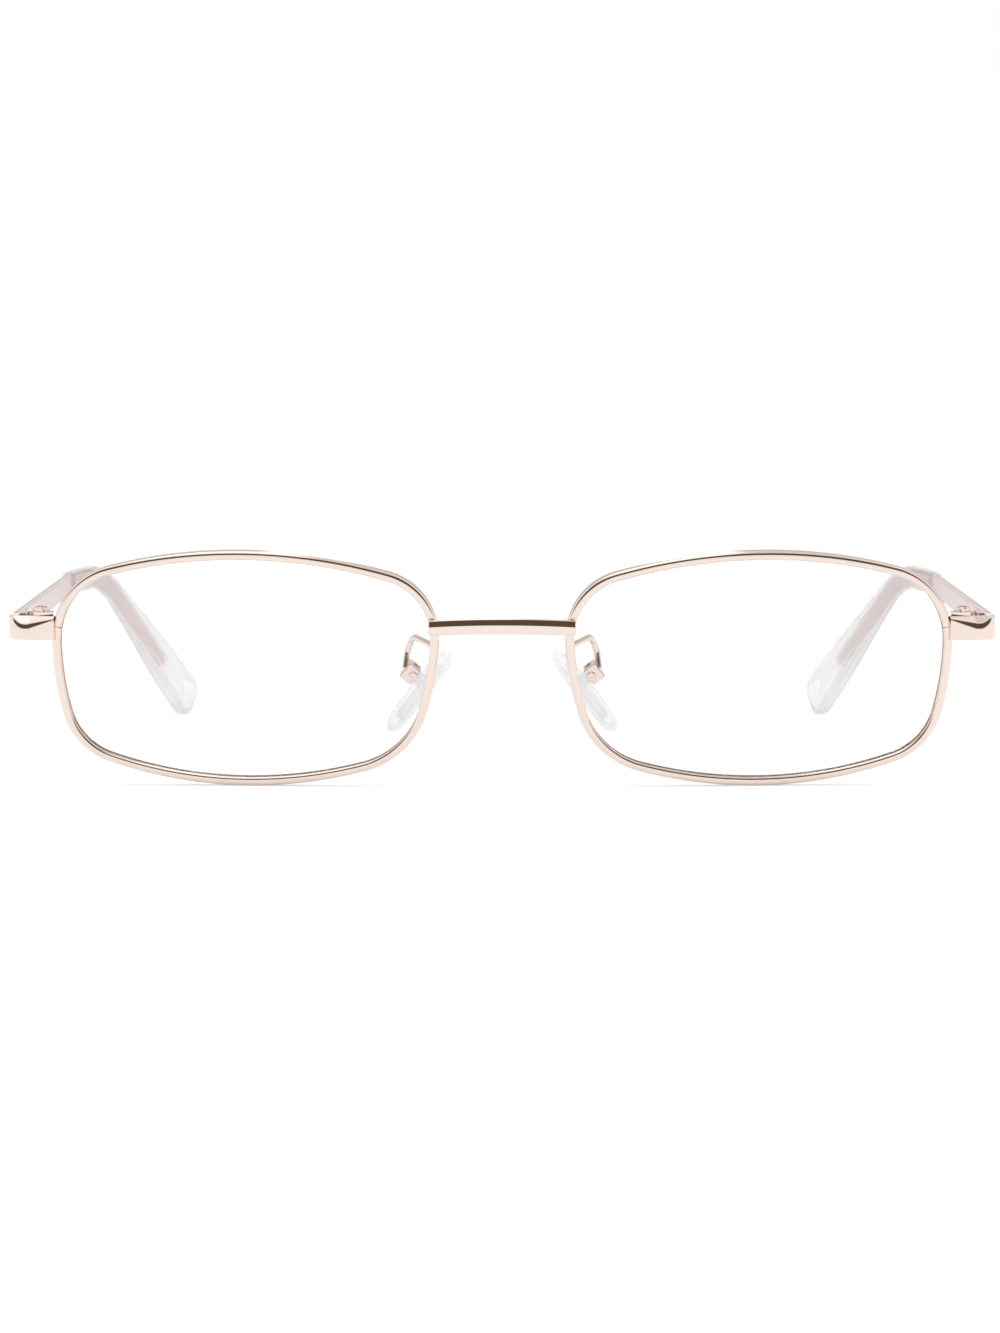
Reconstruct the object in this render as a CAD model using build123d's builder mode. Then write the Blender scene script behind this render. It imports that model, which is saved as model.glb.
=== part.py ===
from build123d import *
import os
from math import asin, atan2, cos, degrees, hypot, radians, sin, tan

# Rectangular wire-rim eyeglasses with clear tips and clear nose pads, standing open on a table
# +Z is up and -Y is the side that faces the viewer; right is +X, as the viewer sees it
# The origin is on the table, midway between the front and the ends of the tips
# Lengths are in millimetres and angles in degrees
# The right half is modelled, and the left half is its mirror image

# Driving dimensions: lens, front and temple
lens_width = 52.0
lens_height = 31.3
bridge_distance = 18.65
lens_thickness = 1.9
base_curve_radius = 130.0
lean_angle = 9.0
wrap_angle = 4.0
temple_length = 134.0
front_place = -64.85

# Lens outline: four sides that bow outward, each at its widest a little off the middle
top_bow_radius = 67.7
bottom_bow_radius = 65.6
nose_bow_radius = 44.2
temple_bow_radius = 41.2
nose_bow_rise = 6.5
temple_bow_rise = 3.4
upper_nose_corner = 8.8
lower_nose_corner = 11.3
upper_temple_corner = 10.3
lower_temple_corner = 8.7

# Rim wire: a rounded section with a groove for the lens edge
rim_wall = 0.75
groove_depth = 0.5
rim_depth = 1.9
rim_round = 0.52
groove_width = 0.9
groove_clearance = 0.05
split_gap = 0.12

# Bridge bar across the fronts of the rims, with a sloping facet along its upper front edge
bridge_rise = 6.46
bridge_lap = 0.725
bridge_middle_reach = 2.5
bridge_end_reach = 1.75
bridge_depth = 1.5
bridge_middle_height = 2.15
bridge_end_height = 1.95
bridge_arch = 0.35
bridge_facet_height = 0.95
bridge_facet_depth = 0.45
bridge_round = 0.25

# Hinge: place of its axis outside the rim, and its knuckles and screw
hinge_outset = 3.325
hinge_rise = 4.25
hinge_setback = 10.1
knuckle_radius = 1.2
knuckle_height = 1.06
knuckle_gap = 0.06
hinge_pin_radius = 0.5
hinge_pin_clearance = 0.03
hinge_head_radius = 0.92
hinge_head_height = 0.45
front_leaf_length = 3.1
rear_leaf_length = 4.6
leaf_thickness = 0.6

# Temple: a flat metal side with a slim core that runs on inside the clear tip
temple_height = 3.4
temple_thickness = 1.2
temple_mouth_height = 3.2
temple_edge_round = 0.4
core_height = 2.8
core_thickness = 1.0
core_end_height = 2.0
butt_gap = 0.1
straight_run = 76.0
tuck_run = 17.4
splay_angle = 1.7
tuck_angle = 11.6
dip_angle = 38.5
tip_inward_angle = 23.7
tuck_bend_radius = 50.0
drop_bend_radius = 20.0
bare_temple_length = 73.0
core_end_margin = 14.0
core_clearance = 0.04

# Clear tip: outer heights and widths at its mouth, at its neck and at its paddle
tip_mouth_height = 3.9
tip_mouth_width = 2.2
tip_neck_height = 4.2
tip_neck_width = 2.5
tip_paddle_height = 6.9
tip_paddle_width = 3.1
tip_neck_share = 0.35
tip_flare_share = 0.85
tip_corner_share = 0.42
tip_section_count = 12
tip_end_shares = (0.35, 0.65, 0.85, 0.97)
paddle_foot_share = 0.2
core_corner_share = 0.4
core_section_count = 9

# Endpiece: a bar that starts at the rim and turns back along the temple
endpiece_height = 3.3
endpiece_thickness = 1.6
endpiece_reach = 7.0
endpiece_outer_bend = 2.8
endpiece_inner_bend = 1.0
endpiece_round = 0.5
endpiece_lap = 0.55
endpiece_sweep_angle = 8.7
endpiece_facet_inner_drop = 0.55
endpiece_facet_outer_drop = 1.55
endpiece_facet_angle = 40.0

# Rim lock: two small blocks behind the endpiece that the lock screw draws together
lock_rise = 5.2
lock_outset = 1.375
lock_setback = 6.0
lock_radius = 1.25
lock_height = 1.75
lock_screw_radius = 0.45
lock_head_radius = 0.85
lock_head_height = 0.6
lock_head_clearance = 0.05
screw_slot_width = 0.22
screw_slot_depth = 0.2
screw_round_share = 0.33

# Nose pad: place of its rocking axis in the front, its tilt and its sizes
pad_outset = 2.975
pad_drop = 2.1
pad_setback = 6.7
pad_tilt_angle = 38.0
pad_length = 13.8
pad_width = 7.2
pad_thickness = 2.3
pad_offset = 2.1
pad_slide = 1.4
pad_crown_radius = 22.0
pad_corner_radius = 3.3
pad_edge_round = 0.5
pad_core_length = 9.0
pad_core_width = 3.6
pad_core_thickness = 0.8
pad_core_corner_radius = 1.2
boss_radius = 0.75
box_length = 2.5
box_depth = 3.0
box_mouth = 0.5
box_wall = 0.65
box_back_wall = 0.7
box_edge_round = 0.2
box_clearance = 0.08
pad_screw_radius = 0.35
pad_screw_clearance = 0.03
pad_screw_head_radius = 0.68
pad_screw_head_height = 0.3
arm_radius = 0.45
arm_start_rise = 3.0
arm_top_step = (0, 5.3, -0.5)
arm_turn_step = (0.8, 3.0, -0.9)
arm_bend_radii = (1.6, 1.2)

# One overrun carries every cut past the faces that it opens
overrun = 12.0


def toward(angle_out, angle_down, reach):
    """Step of length reach along the temple, turned inward and downward by the angles."""
    inward = radians(angle_out)
    downward = radians(angle_down)
    across = -reach * cos(downward) * sin(inward)
    along = reach * cos(downward) * cos(inward)
    return Vector(across, along, -reach * sin(downward))


# The front leans, and the rounded front edge of the rim's underside is on the table
lean = radians(lean_angle)
rim_half_height = lens_height / 2 + rim_wall
rim_sag = rim_half_height**2 / (2 * base_curve_radius)
rounded_off = rim_round * (cos(lean) + sin(lean) - 1)
front_height = rim_half_height * cos(lean) + (rim_depth / 2 - rim_sag) * sin(lean) - rounded_off
front_plane = Plane(
    origin=(0, front_place, front_height),
    x_dir=(1, 0, 0),
    z_dir=(0, -cos(lean), -sin(lean)),
)
lens_centre = (lens_width + bridge_distance) / 2
rim_outer_edge = lens_centre + lens_width / 2 + rim_wall
hinge_across = rim_outer_edge + hinge_outset
lock_across = rim_outer_edge + lock_outset
pad_across = bridge_distance / 2 + pad_outset
bridge_half_length = bridge_distance / 2 + bridge_lap
lens_plane = Plane(front_plane.location * Location((lens_centre, 0, 0), (0, wrap_angle, 0)))

# The temple rises just enough from the hinge for the paddle's underside to reach the table
tip_run = temple_length - straight_run - tuck_run
temple_line = knuckle_radius + leaf_thickness / 2 + temple_thickness / 2
temple_bend = Vector(temple_line, straight_run, 0)
drop_bend = temple_bend + toward(tuck_angle, 0, tuck_run)
temple_end = drop_bend + toward(tip_inward_angle, dip_angle, tip_run)
paddle_foot = tip_paddle_height * paddle_foot_share
hinge_centre = front_plane.from_local_coords(Vector(hinge_across, hinge_rise, -hinge_setback))
temple_reach = hypot(temple_end.Y, temple_end.Z)
temple_rise = degrees(
    atan2(-temple_end.Z, temple_end.Y) - asin((hinge_centre.Z - paddle_foot) / temple_reach)
)
hinge_plane = Plane(Location(hinge_centre, (temple_rise, 0, 0)))
side_plane = Plane(hinge_plane.location * Location((0, 0, 0), (0, 0, -splay_angle)))


def draw_lens_shape(growth):
    """Draws the lens outline, grown outward by growth, in the sketch that is open."""
    sides = (
        (0, lens_height / 2 - top_bow_radius, top_bow_radius),
        (0, bottom_bow_radius - lens_height / 2, bottom_bow_radius),
        (nose_bow_radius - lens_width / 2, nose_bow_rise, nose_bow_radius),
        (lens_width / 2 - temple_bow_radius, temple_bow_rise, temple_bow_radius),
    )
    mode = Mode.ADD
    for across, up, radius in sides:
        with Locations((across, up)):
            Circle(radius + growth, mode=mode)
        mode = Mode.INTERSECT
    corners = (
        (-1, 1, upper_nose_corner),
        (-1, -1, lower_nose_corner),
        (1, 1, upper_temple_corner),
        (1, -1, lower_temple_corner),
    )
    for across, up, radius in corners:
        boxed_corner = (across * lens_width / 2, up * lens_height / 2)
        fillet(vertices().sort_by_distance(boxed_corner)[0], radius + growth)


def curved_plate(growth, thickness):
    """Plate of the lens outline, grown by growth and bent to the base curve."""
    with BuildPart(lens_plane) as plate:
        with BuildSketch(lens_plane):
            draw_lens_shape(growth)
        extrude(amount=overrun, both=True)
        with Locations((0, 0, -base_curve_radius)):
            Sphere(base_curve_radius + thickness / 2, mode=Mode.INTERSECT)
            Sphere(base_curve_radius - thickness / 2, mode=Mode.SUBTRACT)
    return plate.part


def plan_plane(rise):
    """Plane seen from above the front, at height rise: across, then backward."""
    return Plane(front_plane.location * Location((0, rise, 0), (-90, 0, 0)))


def cylinder_on(plane, radius, low, high):
    """Round bar along the plane's normal, from low to high."""
    with BuildPart() as bar:
        with BuildSketch(plane.offset(low)):
            Circle(radius)
        extrude(amount=high - low)
    return bar.part


def slotted_screw(plane, shank_radius, low, high, head_radius, head_height):
    """Screw along the plane's normal with a slotted head above high."""
    with BuildPart() as screw:
        with BuildSketch(plane.offset(low)):
            Circle(shank_radius)
        extrude(amount=high - low)
        with BuildSketch(plane.offset(high)):
            Circle(head_radius)
        extrude(amount=head_height)
        rim_edge = edges().group_by(Axis(plane.origin, plane.z_dir))[-1]
        fillet(rim_edge, head_height * screw_round_share)
        with BuildSketch(plane.offset(high + head_height - screw_slot_depth)):
            Rectangle(2 * head_radius, screw_slot_width)
        extrude(amount=overrun, mode=Mode.SUBTRACT)
    return screw.part


# Rim, split at the height of the rim lock so that the lens can be changed
with BuildPart() as rim:
    add(curved_plate(rim_wall, rim_depth))
    with BuildSketch(lens_plane):
        draw_lens_shape(-groove_depth)
    extrude(amount=overrun, both=True, mode=Mode.SUBTRACT)
    fillet(faces().filter_by(GeomType.SPHERE).edges(), rim_round)
    add(curved_plate(groove_clearance, groove_width), mode=Mode.SUBTRACT)
    with BuildSketch(lens_plane):
        with Locations((lens_width / 2, lock_rise)):
            Rectangle(2 * overrun, split_gap)
    extrude(amount=overrun, both=True, mode=Mode.SUBTRACT)

# Lens, with the narrow edge that sits in the rim's groove
with BuildPart() as lens:
    add(curved_plate(-groove_depth - groove_clearance, lens_thickness))
    add(curved_plate(0, groove_width - 2 * groove_clearance))

# Bridge, bowed forward and arched, its ends fitted over the fronts of the rims
with BuildPart() as bridge:
    with BuildSketch(plan_plane(bridge_rise - bridge_middle_height)):
        with BuildLine():
            front = ThreePointArc(
                (-bridge_half_length, -bridge_end_reach),
                (0, -bridge_middle_reach),
                (bridge_half_length, -bridge_end_reach),
            )
            back = ThreePointArc(
                (-bridge_half_length, bridge_depth - bridge_end_reach),
                (0, bridge_depth - bridge_middle_reach),
                (bridge_half_length, bridge_depth - bridge_end_reach),
            )
            Line(front @ 0, back @ 0)
            Line(front @ 1, back @ 1)
        make_face()
    extrude(amount=2 * bridge_middle_height)
    with BuildSketch(front_plane):
        with BuildLine():
            top = ThreePointArc(
                (-bridge_half_length, bridge_rise - bridge_arch + bridge_end_height / 2),
                (0, bridge_rise + bridge_middle_height / 2),
                (bridge_half_length, bridge_rise - bridge_arch + bridge_end_height / 2),
            )
            bottom = ThreePointArc(
                (-bridge_half_length, bridge_rise - bridge_arch - bridge_end_height / 2),
                (0, bridge_rise - bridge_middle_height / 2),
                (bridge_half_length, bridge_rise - bridge_arch - bridge_end_height / 2),
            )
            Line(top @ 0, bottom @ 0)
            Line(top @ 1, bottom @ 1)
        make_face()
    extrude(amount=overrun, both=True, mode=Mode.INTERSECT)
    upper_front_corner = front_plane.from_local_coords(Vector(0, bridge_rise + overrun, overrun))
    upper_front_edge = edges().sort_by_distance(upper_front_corner)[0]
    front_face = faces().sort_by_distance(front_plane.from_local_coords(Vector(0, bridge_rise, overrun)))[0]
    chamfer(upper_front_edge, bridge_facet_height, bridge_facet_depth, reference=front_face)
    fillet(edges(), bridge_round)
    for piece in (rim.part, lens.part):
        add(piece, mode=Mode.SUBTRACT)
        add(piece.mirror(Plane.YZ), mode=Mode.SUBTRACT)

# Place of the rim lock's screw, and the space that its head needs
lock_plane = Plane(plan_plane(lock_rise).location * Location((lock_across, lock_setback, 0)))
lock_half = split_gap / 2 + lock_height
lock_head_space = cylinder_on(
    lock_plane, lock_head_radius + lock_head_clearance, -lock_half, lock_half + 2 * lock_head_height
)

# Endpiece, drawn from above: the bar behind the front's line, and its return along the temple
temple_inner_face = temple_line - temple_thickness / 2
temple_outer_face = temple_line + temple_thickness / 2
endpiece_end = -hinge_outset - endpiece_lap
endpiece_sweep = (temple_outer_face - endpiece_end) * sin(radians(endpiece_sweep_angle))
facet_inner_end = side_plane.from_local_coords(
    Vector(endpiece_end, -endpiece_reach, endpiece_height / 2 - endpiece_facet_inner_drop)
)
facet_outer_end = side_plane.from_local_coords(
    Vector(
        temple_outer_face - endpiece_outer_bend,
        -endpiece_reach + endpiece_sweep / 2,
        endpiece_height / 2 - endpiece_facet_outer_drop,
    )
)
facet_line = facet_outer_end - facet_inner_end
facet_slope = side_plane.z_dir.rotate(Axis(side_plane.origin, side_plane.x_dir), -endpiece_facet_angle)
endpiece_facet_plane = Plane(
    origin=facet_inner_end, x_dir=facet_line, z_dir=facet_line.cross(facet_slope)
)
with BuildPart() as endpiece:
    with BuildSketch(side_plane.offset(-endpiece_height / 2)):
        with BuildLine():
            Polyline(
                (temple_inner_face, -butt_gap / 2),
                (temple_outer_face, -butt_gap / 2),
                (temple_outer_face, endpiece_sweep - endpiece_reach),
                (endpiece_end, -endpiece_reach),
                (endpiece_end, endpiece_thickness - endpiece_reach),
                (temple_inner_face, endpiece_sweep + endpiece_thickness - endpiece_reach),
                close=True,
            )
        make_face()
        outer_corner = vertices().sort_by_distance((temple_outer_face, -endpiece_reach))[0]
        fillet(outer_corner, endpiece_outer_bend)
        inner_corner = (temple_inner_face, endpiece_sweep + endpiece_thickness - endpiece_reach)
        fillet(vertices().sort_by_distance(inner_corner)[0], endpiece_inner_bend)
    extrude(amount=endpiece_height)
    upright_edges = edges().filter_by(Axis(side_plane.origin, side_plane.z_dir))
    fillet(edges() - upright_edges, endpiece_round)
    split(bisect_by=endpiece_facet_plane, keep=Keep.BOTTOM)
    add(rim.part, mode=Mode.SUBTRACT)
    add(lock_head_space, mode=Mode.SUBTRACT)

# Rim lock: two blocks soldered to the rim's ends, and the screw that closes them
def lock_block(low):
    """Block of the rim lock from height low upward, shaped to the rim and the endpiece."""
    with BuildPart() as block:
        with BuildSketch(plan_plane(low)):
            with Locations((lock_across, lock_setback)):
                Circle(lock_radius)
            with Locations(((lock_across + lock_foot_end) / 2, lock_setback - lock_radius / 2)):
                Rectangle(lock_across - lock_foot_end, lock_radius)
        extrude(amount=lock_height)
        add(rim.part, mode=Mode.SUBTRACT)
        add(endpiece.part, mode=Mode.SUBTRACT)
        add(lock_bore, mode=Mode.SUBTRACT)
    return block


wrap_shortening = lens_width / 2 * (1 - cos(radians(wrap_angle)))
lock_foot_end = rim_outer_edge - rim_wall / 2 - wrap_shortening
lock_bore = cylinder_on(lock_plane, lock_screw_radius, -lock_half, lock_half)
rim_lock_upper = lock_block(lock_rise + split_gap / 2)
rim_lock_lower = lock_block(lock_rise - lock_half)
rim_lock_screw = slotted_screw(
    lock_plane, lock_screw_radius, -lock_half, lock_half, lock_head_radius, lock_head_height
)

# Hinge: two knuckles on the endpiece, one on the temple, and the screw through all three
leaf_line = temple_inner_face - leaf_thickness / 2
leaf_start = knuckle_radius + knuckle_gap
knuckle_pitch = knuckle_height + knuckle_gap
hinge_half_height = knuckle_pitch + knuckle_height / 2
leaf_height = 2 * (hinge_half_height - temple_edge_round)
hinge_bore = cylinder_on(
    side_plane, hinge_pin_radius + hinge_pin_clearance, -hinge_half_height, hinge_half_height
)


def hinge_half(levels, direction, leaf_length):
    """Leaf with knuckles at the levels, on the endpiece's side (-1) or the temple's side (1)."""
    with BuildPart() as half:
        for level in levels:
            with BuildSketch(side_plane.offset(level * knuckle_pitch - knuckle_height / 2)):
                Circle(knuckle_radius)
                with Locations((leaf_line, direction * leaf_start / 2)):
                    Rectangle(leaf_thickness, leaf_start)
            extrude(amount=knuckle_height)
        with BuildSketch(side_plane.offset(-leaf_height / 2)):
            with Locations((leaf_line, direction * (leaf_start + leaf_length) / 2)):
                Rectangle(leaf_thickness, leaf_length - leaf_start)
        extrude(amount=leaf_height)
        add(hinge_bore, mode=Mode.SUBTRACT)
    return half


hinge_front = hinge_half((-1, 1), -1, front_leaf_length)
hinge_rear = hinge_half((0,), 1, rear_leaf_length)
hinge_screw = slotted_screw(
    side_plane,
    hinge_pin_radius,
    -hinge_half_height,
    hinge_half_height,
    hinge_head_radius,
    hinge_head_height,
)

# Line of the temple: straight from the hinge, then tucked inward, then dropped behind the ear
with BuildLine() as temple_route:
    FilletPolyline(
        side_plane.from_local_coords(Vector(temple_line, butt_gap / 2, 0)),
        side_plane.from_local_coords(temple_bend),
        side_plane.from_local_coords(drop_bend),
        side_plane.from_local_coords(temple_end),
        radius=(tuck_bend_radius, drop_bend_radius),
    )
route = temple_route.wire()


def route_plane(distance):
    """Plane square to the temple's line at a distance along it, its x axis across the temple."""
    share = distance / route.length
    along = route.tangent_at(share)
    return Plane(origin=route.position_at(share), x_dir=along.cross(side_plane.z_dir), z_dir=along)


def flowing_bar(distances, widths, heights, corner_shares):
    """Bar along the temple's line through rounded sections at the distances."""
    with BuildPart() as bar:
        for distance, width, height, share in zip(distances, widths, heights, corner_shares):
            with BuildSketch(route_plane(distance)):
                RectangleRounded(width, height, min(width, height) * share)
        loft()
    return bar.part


def spread(start, end, count):
    """Evenly spaced values from start to end."""
    return [start + (end - start) * step / (count - 1) for step in range(count)]


def core_bar(growth):
    """Slim end of the temple inside the tip, grown all round by growth."""
    distances = spread(bare_temple_length, route.length - core_end_margin + growth, core_section_count)
    widths = [core_thickness + 2 * growth] * core_section_count
    heights = [height + 2 * growth for height in spread(core_height, core_end_height, core_section_count)]
    return flowing_bar(distances, widths, heights, [core_corner_share] * core_section_count)


bend_start = straight_run - tuck_bend_radius * tan(radians(tuck_angle / 2)) - butt_gap / 2
with BuildPart() as temple:
    for distance in sorted({0, min(bend_start, bare_temple_length), bare_temple_length}):
        height = temple_height + (temple_mouth_height - temple_height) * distance / bare_temple_length
        with BuildSketch(route_plane(distance)):
            RectangleRounded(temple_thickness, height, temple_edge_round)
    loft(ruled=True)
    add(core_bar(0))

# Clear tip: a soft sleeve that flares from its mouth to a paddle with a round end
tip_length = route.length - bare_temple_length
tip_end_round = tip_paddle_height / 2


def tip_size(share, mouth, neck, paddle):
    """Width or height of the tip at a share of its length."""
    if share < tip_neck_share:
        return mouth + (neck - mouth) * sin(radians(90) * share / tip_neck_share)
    flare = min((share - tip_neck_share) / (tip_flare_share - tip_neck_share), 1)
    return neck + (paddle - neck) * sin(radians(90) * flare) ** 2


tip_shares = spread(0, 1 - tip_end_round / tip_length, tip_section_count)
tip_rounds = [1] * tip_section_count
for share in tip_end_shares:
    tip_shares.append(1 - tip_end_round / tip_length * (1 - share))
    tip_rounds.append((1 - share**2) ** 0.5)
with BuildPart() as temple_tip:
    add(
        flowing_bar(
            [bare_temple_length + share * tip_length for share in tip_shares],
            [
                tip_size(share, tip_mouth_width, tip_neck_width, tip_paddle_width) * shrink
                for share, shrink in zip(tip_shares, tip_rounds)
            ],
            [
                tip_size(share, tip_mouth_height, tip_neck_height, tip_paddle_height) * shrink
                for share, shrink in zip(tip_shares, tip_rounds)
            ],
            [tip_corner_share] * len(tip_shares),
        )
    )
    add(core_bar(core_clearance), mode=Mode.SUBTRACT)

# Nose pad: its frame has x away from the nose, y backward and z up along the pad
pad_place = Vector(pad_across, -pad_drop, -pad_setback)
pad_plane = Plane(front_plane.location * Location(pad_place, (-90, -pad_tilt_angle, 0)))
pad_centre = pad_plane.from_local_coords(Vector(-pad_offset, 0, -pad_slide))
pad_face = Plane(origin=pad_centre, x_dir=pad_plane.y_dir, z_dir=pad_plane.x_dir)
rock_plane = Plane(origin=pad_plane.origin, x_dir=pad_plane.x_dir, z_dir=-pad_plane.y_dir)
boss_width = box_depth - 2 * box_wall - 2 * box_clearance
box_back = boss_radius + box_clearance + box_back_wall

# Hard clear core of the pad, with the boss that the pad screw passes through
with BuildPart() as pad_core:
    with BuildSketch(pad_face.offset(-pad_core_thickness / 2)):
        RectangleRounded(pad_core_width, pad_core_length, pad_core_corner_radius)
    extrude(amount=pad_core_thickness)
    with BuildSketch(rock_plane.offset(-boss_width / 2)):
        Circle(boss_radius)
        with Locations((-pad_offset / 2, 0)):
            Rectangle(pad_offset, 2 * boss_radius)
    extrude(amount=boss_width)
    with BuildSketch(rock_plane.offset(-boss_width / 2)):
        Circle(pad_screw_radius + pad_screw_clearance)
    extrude(amount=boss_width, mode=Mode.SUBTRACT)

# Soft clear pad moulded round the core, crowned on the side that meets the nose
with BuildPart() as nose_pad:
    with BuildSketch(pad_face.offset(-pad_thickness / 2)):
        RectangleRounded(pad_width, pad_length, pad_corner_radius)
    extrude(amount=pad_thickness)
    crown_centre = pad_face.location * Location((0, 0, pad_crown_radius - pad_thickness / 2))
    with Locations(crown_centre):
        Sphere(pad_crown_radius, mode=Mode.INTERSECT)
    long_edges = edges().filter_by(Axis(pad_face.origin, pad_face.z_dir), reverse=True)
    fillet(long_edges, pad_edge_round)
    add(pad_core.part, mode=Mode.SUBTRACT)

# Pad box: a channel that holds the boss between its two walls
with BuildPart() as pad_box:
    with BuildSketch(rock_plane.offset(-box_depth / 2)):
        with Locations(((box_back - box_mouth) / 2, 0)):
            Rectangle(box_back + box_mouth, box_length)
    extrude(amount=box_depth)
    fillet(edges(), box_edge_round)
    with BuildSketch(rock_plane.offset(-box_depth / 2 + box_wall)):
        with Locations((-box_mouth / 2, 0)):
            Rectangle(2 * (box_back - box_back_wall) + box_mouth, box_length + box_wall)
    extrude(amount=box_depth - 2 * box_wall, mode=Mode.SUBTRACT)
    with BuildSketch(rock_plane.offset(-box_depth / 2)):
        Circle(pad_screw_radius + pad_screw_clearance)
    extrude(amount=box_depth, mode=Mode.SUBTRACT)

pad_screw = slotted_screw(
    rock_plane,
    pad_screw_radius,
    -box_depth / 2,
    box_depth / 2,
    pad_screw_head_radius,
    pad_screw_head_height,
)

# Pad arm: a wire from the back of the rim, up and round in a loop, down to the pad box
nose_side_sag = (lens_width / 2) ** 2 / (2 * base_curve_radius)
nose_side_setback = nose_side_sag - lens_width / 2 * sin(radians(wrap_angle))
arm_seat = nose_side_setback + (rim_depth + groove_width) / 4
arm_start = Vector(lens_centre - lens_width / 2, arm_start_rise, -arm_seat)
with BuildPart() as pad_arm:
    with BuildLine() as arm_route:
        FilletPolyline(
            front_plane.from_local_coords(arm_start),
            front_plane.from_local_coords(pad_place + Vector(arm_top_step)),
            front_plane.from_local_coords(pad_place + Vector(arm_turn_step)),
            pad_plane.from_local_coords(Vector(box_back - box_edge_round / 2, 0, 0)),
            radius=arm_bend_radii,
        )
    with BuildSketch(arm_route.wire() ^ 0):
        Circle(arm_radius)
    sweep()
    add(rim.part, mode=Mode.SUBTRACT)
    add(pad_box.part, mode=Mode.SUBTRACT)

right_pieces = {
    "rim": rim.part,
    "lens": lens.part,
    "endpiece": endpiece.part,
    "rim_lock_upper": rim_lock_upper.part,
    "rim_lock_lower": rim_lock_lower.part,
    "rim_lock_screw": rim_lock_screw,
    "hinge_front": hinge_front.part,
    "hinge_rear": hinge_rear.part,
    "hinge_screw": hinge_screw,
    "temple": temple.part,
    "temple_tip": temple_tip.part,
    "pad_arm": pad_arm.part,
    "pad_box": pad_box.part,
    "pad_screw": pad_screw,
    "pad_core": pad_core.part,
    "nose_pad": nose_pad.part,
}

os.makedirs("parts", exist_ok=True)
bridge.part.label = "bridge"
export_step(bridge.part, "parts/bridge.step")
for name, piece in right_pieces.items():
    piece.label = f"{name}_right"
    export_step(piece, f"parts/{name}_right.step")
    with BuildPart() as left_piece:
        mirror(piece, about=Plane.YZ)
    left_piece.part.label = f"{name}_left"
    export_step(left_piece.part, f"parts/{name}_left.step")
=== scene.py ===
"""Looks of a pair of rectangular wire-rim eyeglasses, built around their CAD model."""

from functools import partialmethod
from math import asin, atan2, cos, hypot, pi, radians, sin, sqrt, tan

import bmesh
import bpy
from bpy.props import FloatProperty, FloatVectorProperty, PointerProperty
from mathutils import Matrix, Vector


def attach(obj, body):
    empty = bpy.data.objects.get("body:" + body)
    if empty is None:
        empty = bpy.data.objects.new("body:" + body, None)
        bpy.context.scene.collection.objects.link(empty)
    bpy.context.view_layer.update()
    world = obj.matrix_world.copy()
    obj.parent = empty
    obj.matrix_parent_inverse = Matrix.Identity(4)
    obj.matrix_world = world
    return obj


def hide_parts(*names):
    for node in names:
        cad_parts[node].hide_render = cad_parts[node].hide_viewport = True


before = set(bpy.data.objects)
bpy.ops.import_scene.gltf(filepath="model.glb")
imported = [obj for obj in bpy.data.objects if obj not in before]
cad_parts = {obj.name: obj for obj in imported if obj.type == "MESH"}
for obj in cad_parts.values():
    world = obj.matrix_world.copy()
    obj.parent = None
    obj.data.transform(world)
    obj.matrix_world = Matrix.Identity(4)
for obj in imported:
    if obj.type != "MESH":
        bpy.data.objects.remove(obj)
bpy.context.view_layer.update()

bl_info = {
    "name": "Wire-rim eyeglasses",
    "version": (1, 0, 0),
    "blender": (4, 5, 0),
    "location": "View3D > Sidebar > Eyeglasses",
    "description": "Makes the rims, bridge, temples, tips, pads and screws of a pair of eyeglasses",
    "category": "Add Mesh",
}

MM = 0.001
SIDES = {"right": 1, "left": -1}
MIRROR = Vector((-1, 1, 1))
WHITE = (1, 1, 1, 1)


def length(name, millimetres, description):
    """Property for a size, with its default in millimetres"""
    return FloatProperty(
        name=name,
        description=description,
        default=millimetres * MM,
        unit="LENGTH",
        subtype="DISTANCE",
        precision=5,
    )


def angle(name, degrees, description):
    """Property for an angle, with its default in degrees"""
    return FloatProperty(
        name=name,
        description=description,
        default=radians(degrees),
        unit="ROTATION",
        subtype="ANGLE",
    )


def colour(name, default, description):
    """Property for a linear colour"""
    return FloatVectorProperty(
        name=name, description=description, default=default, subtype="COLOR", size=3, min=0, max=1
    )


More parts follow.
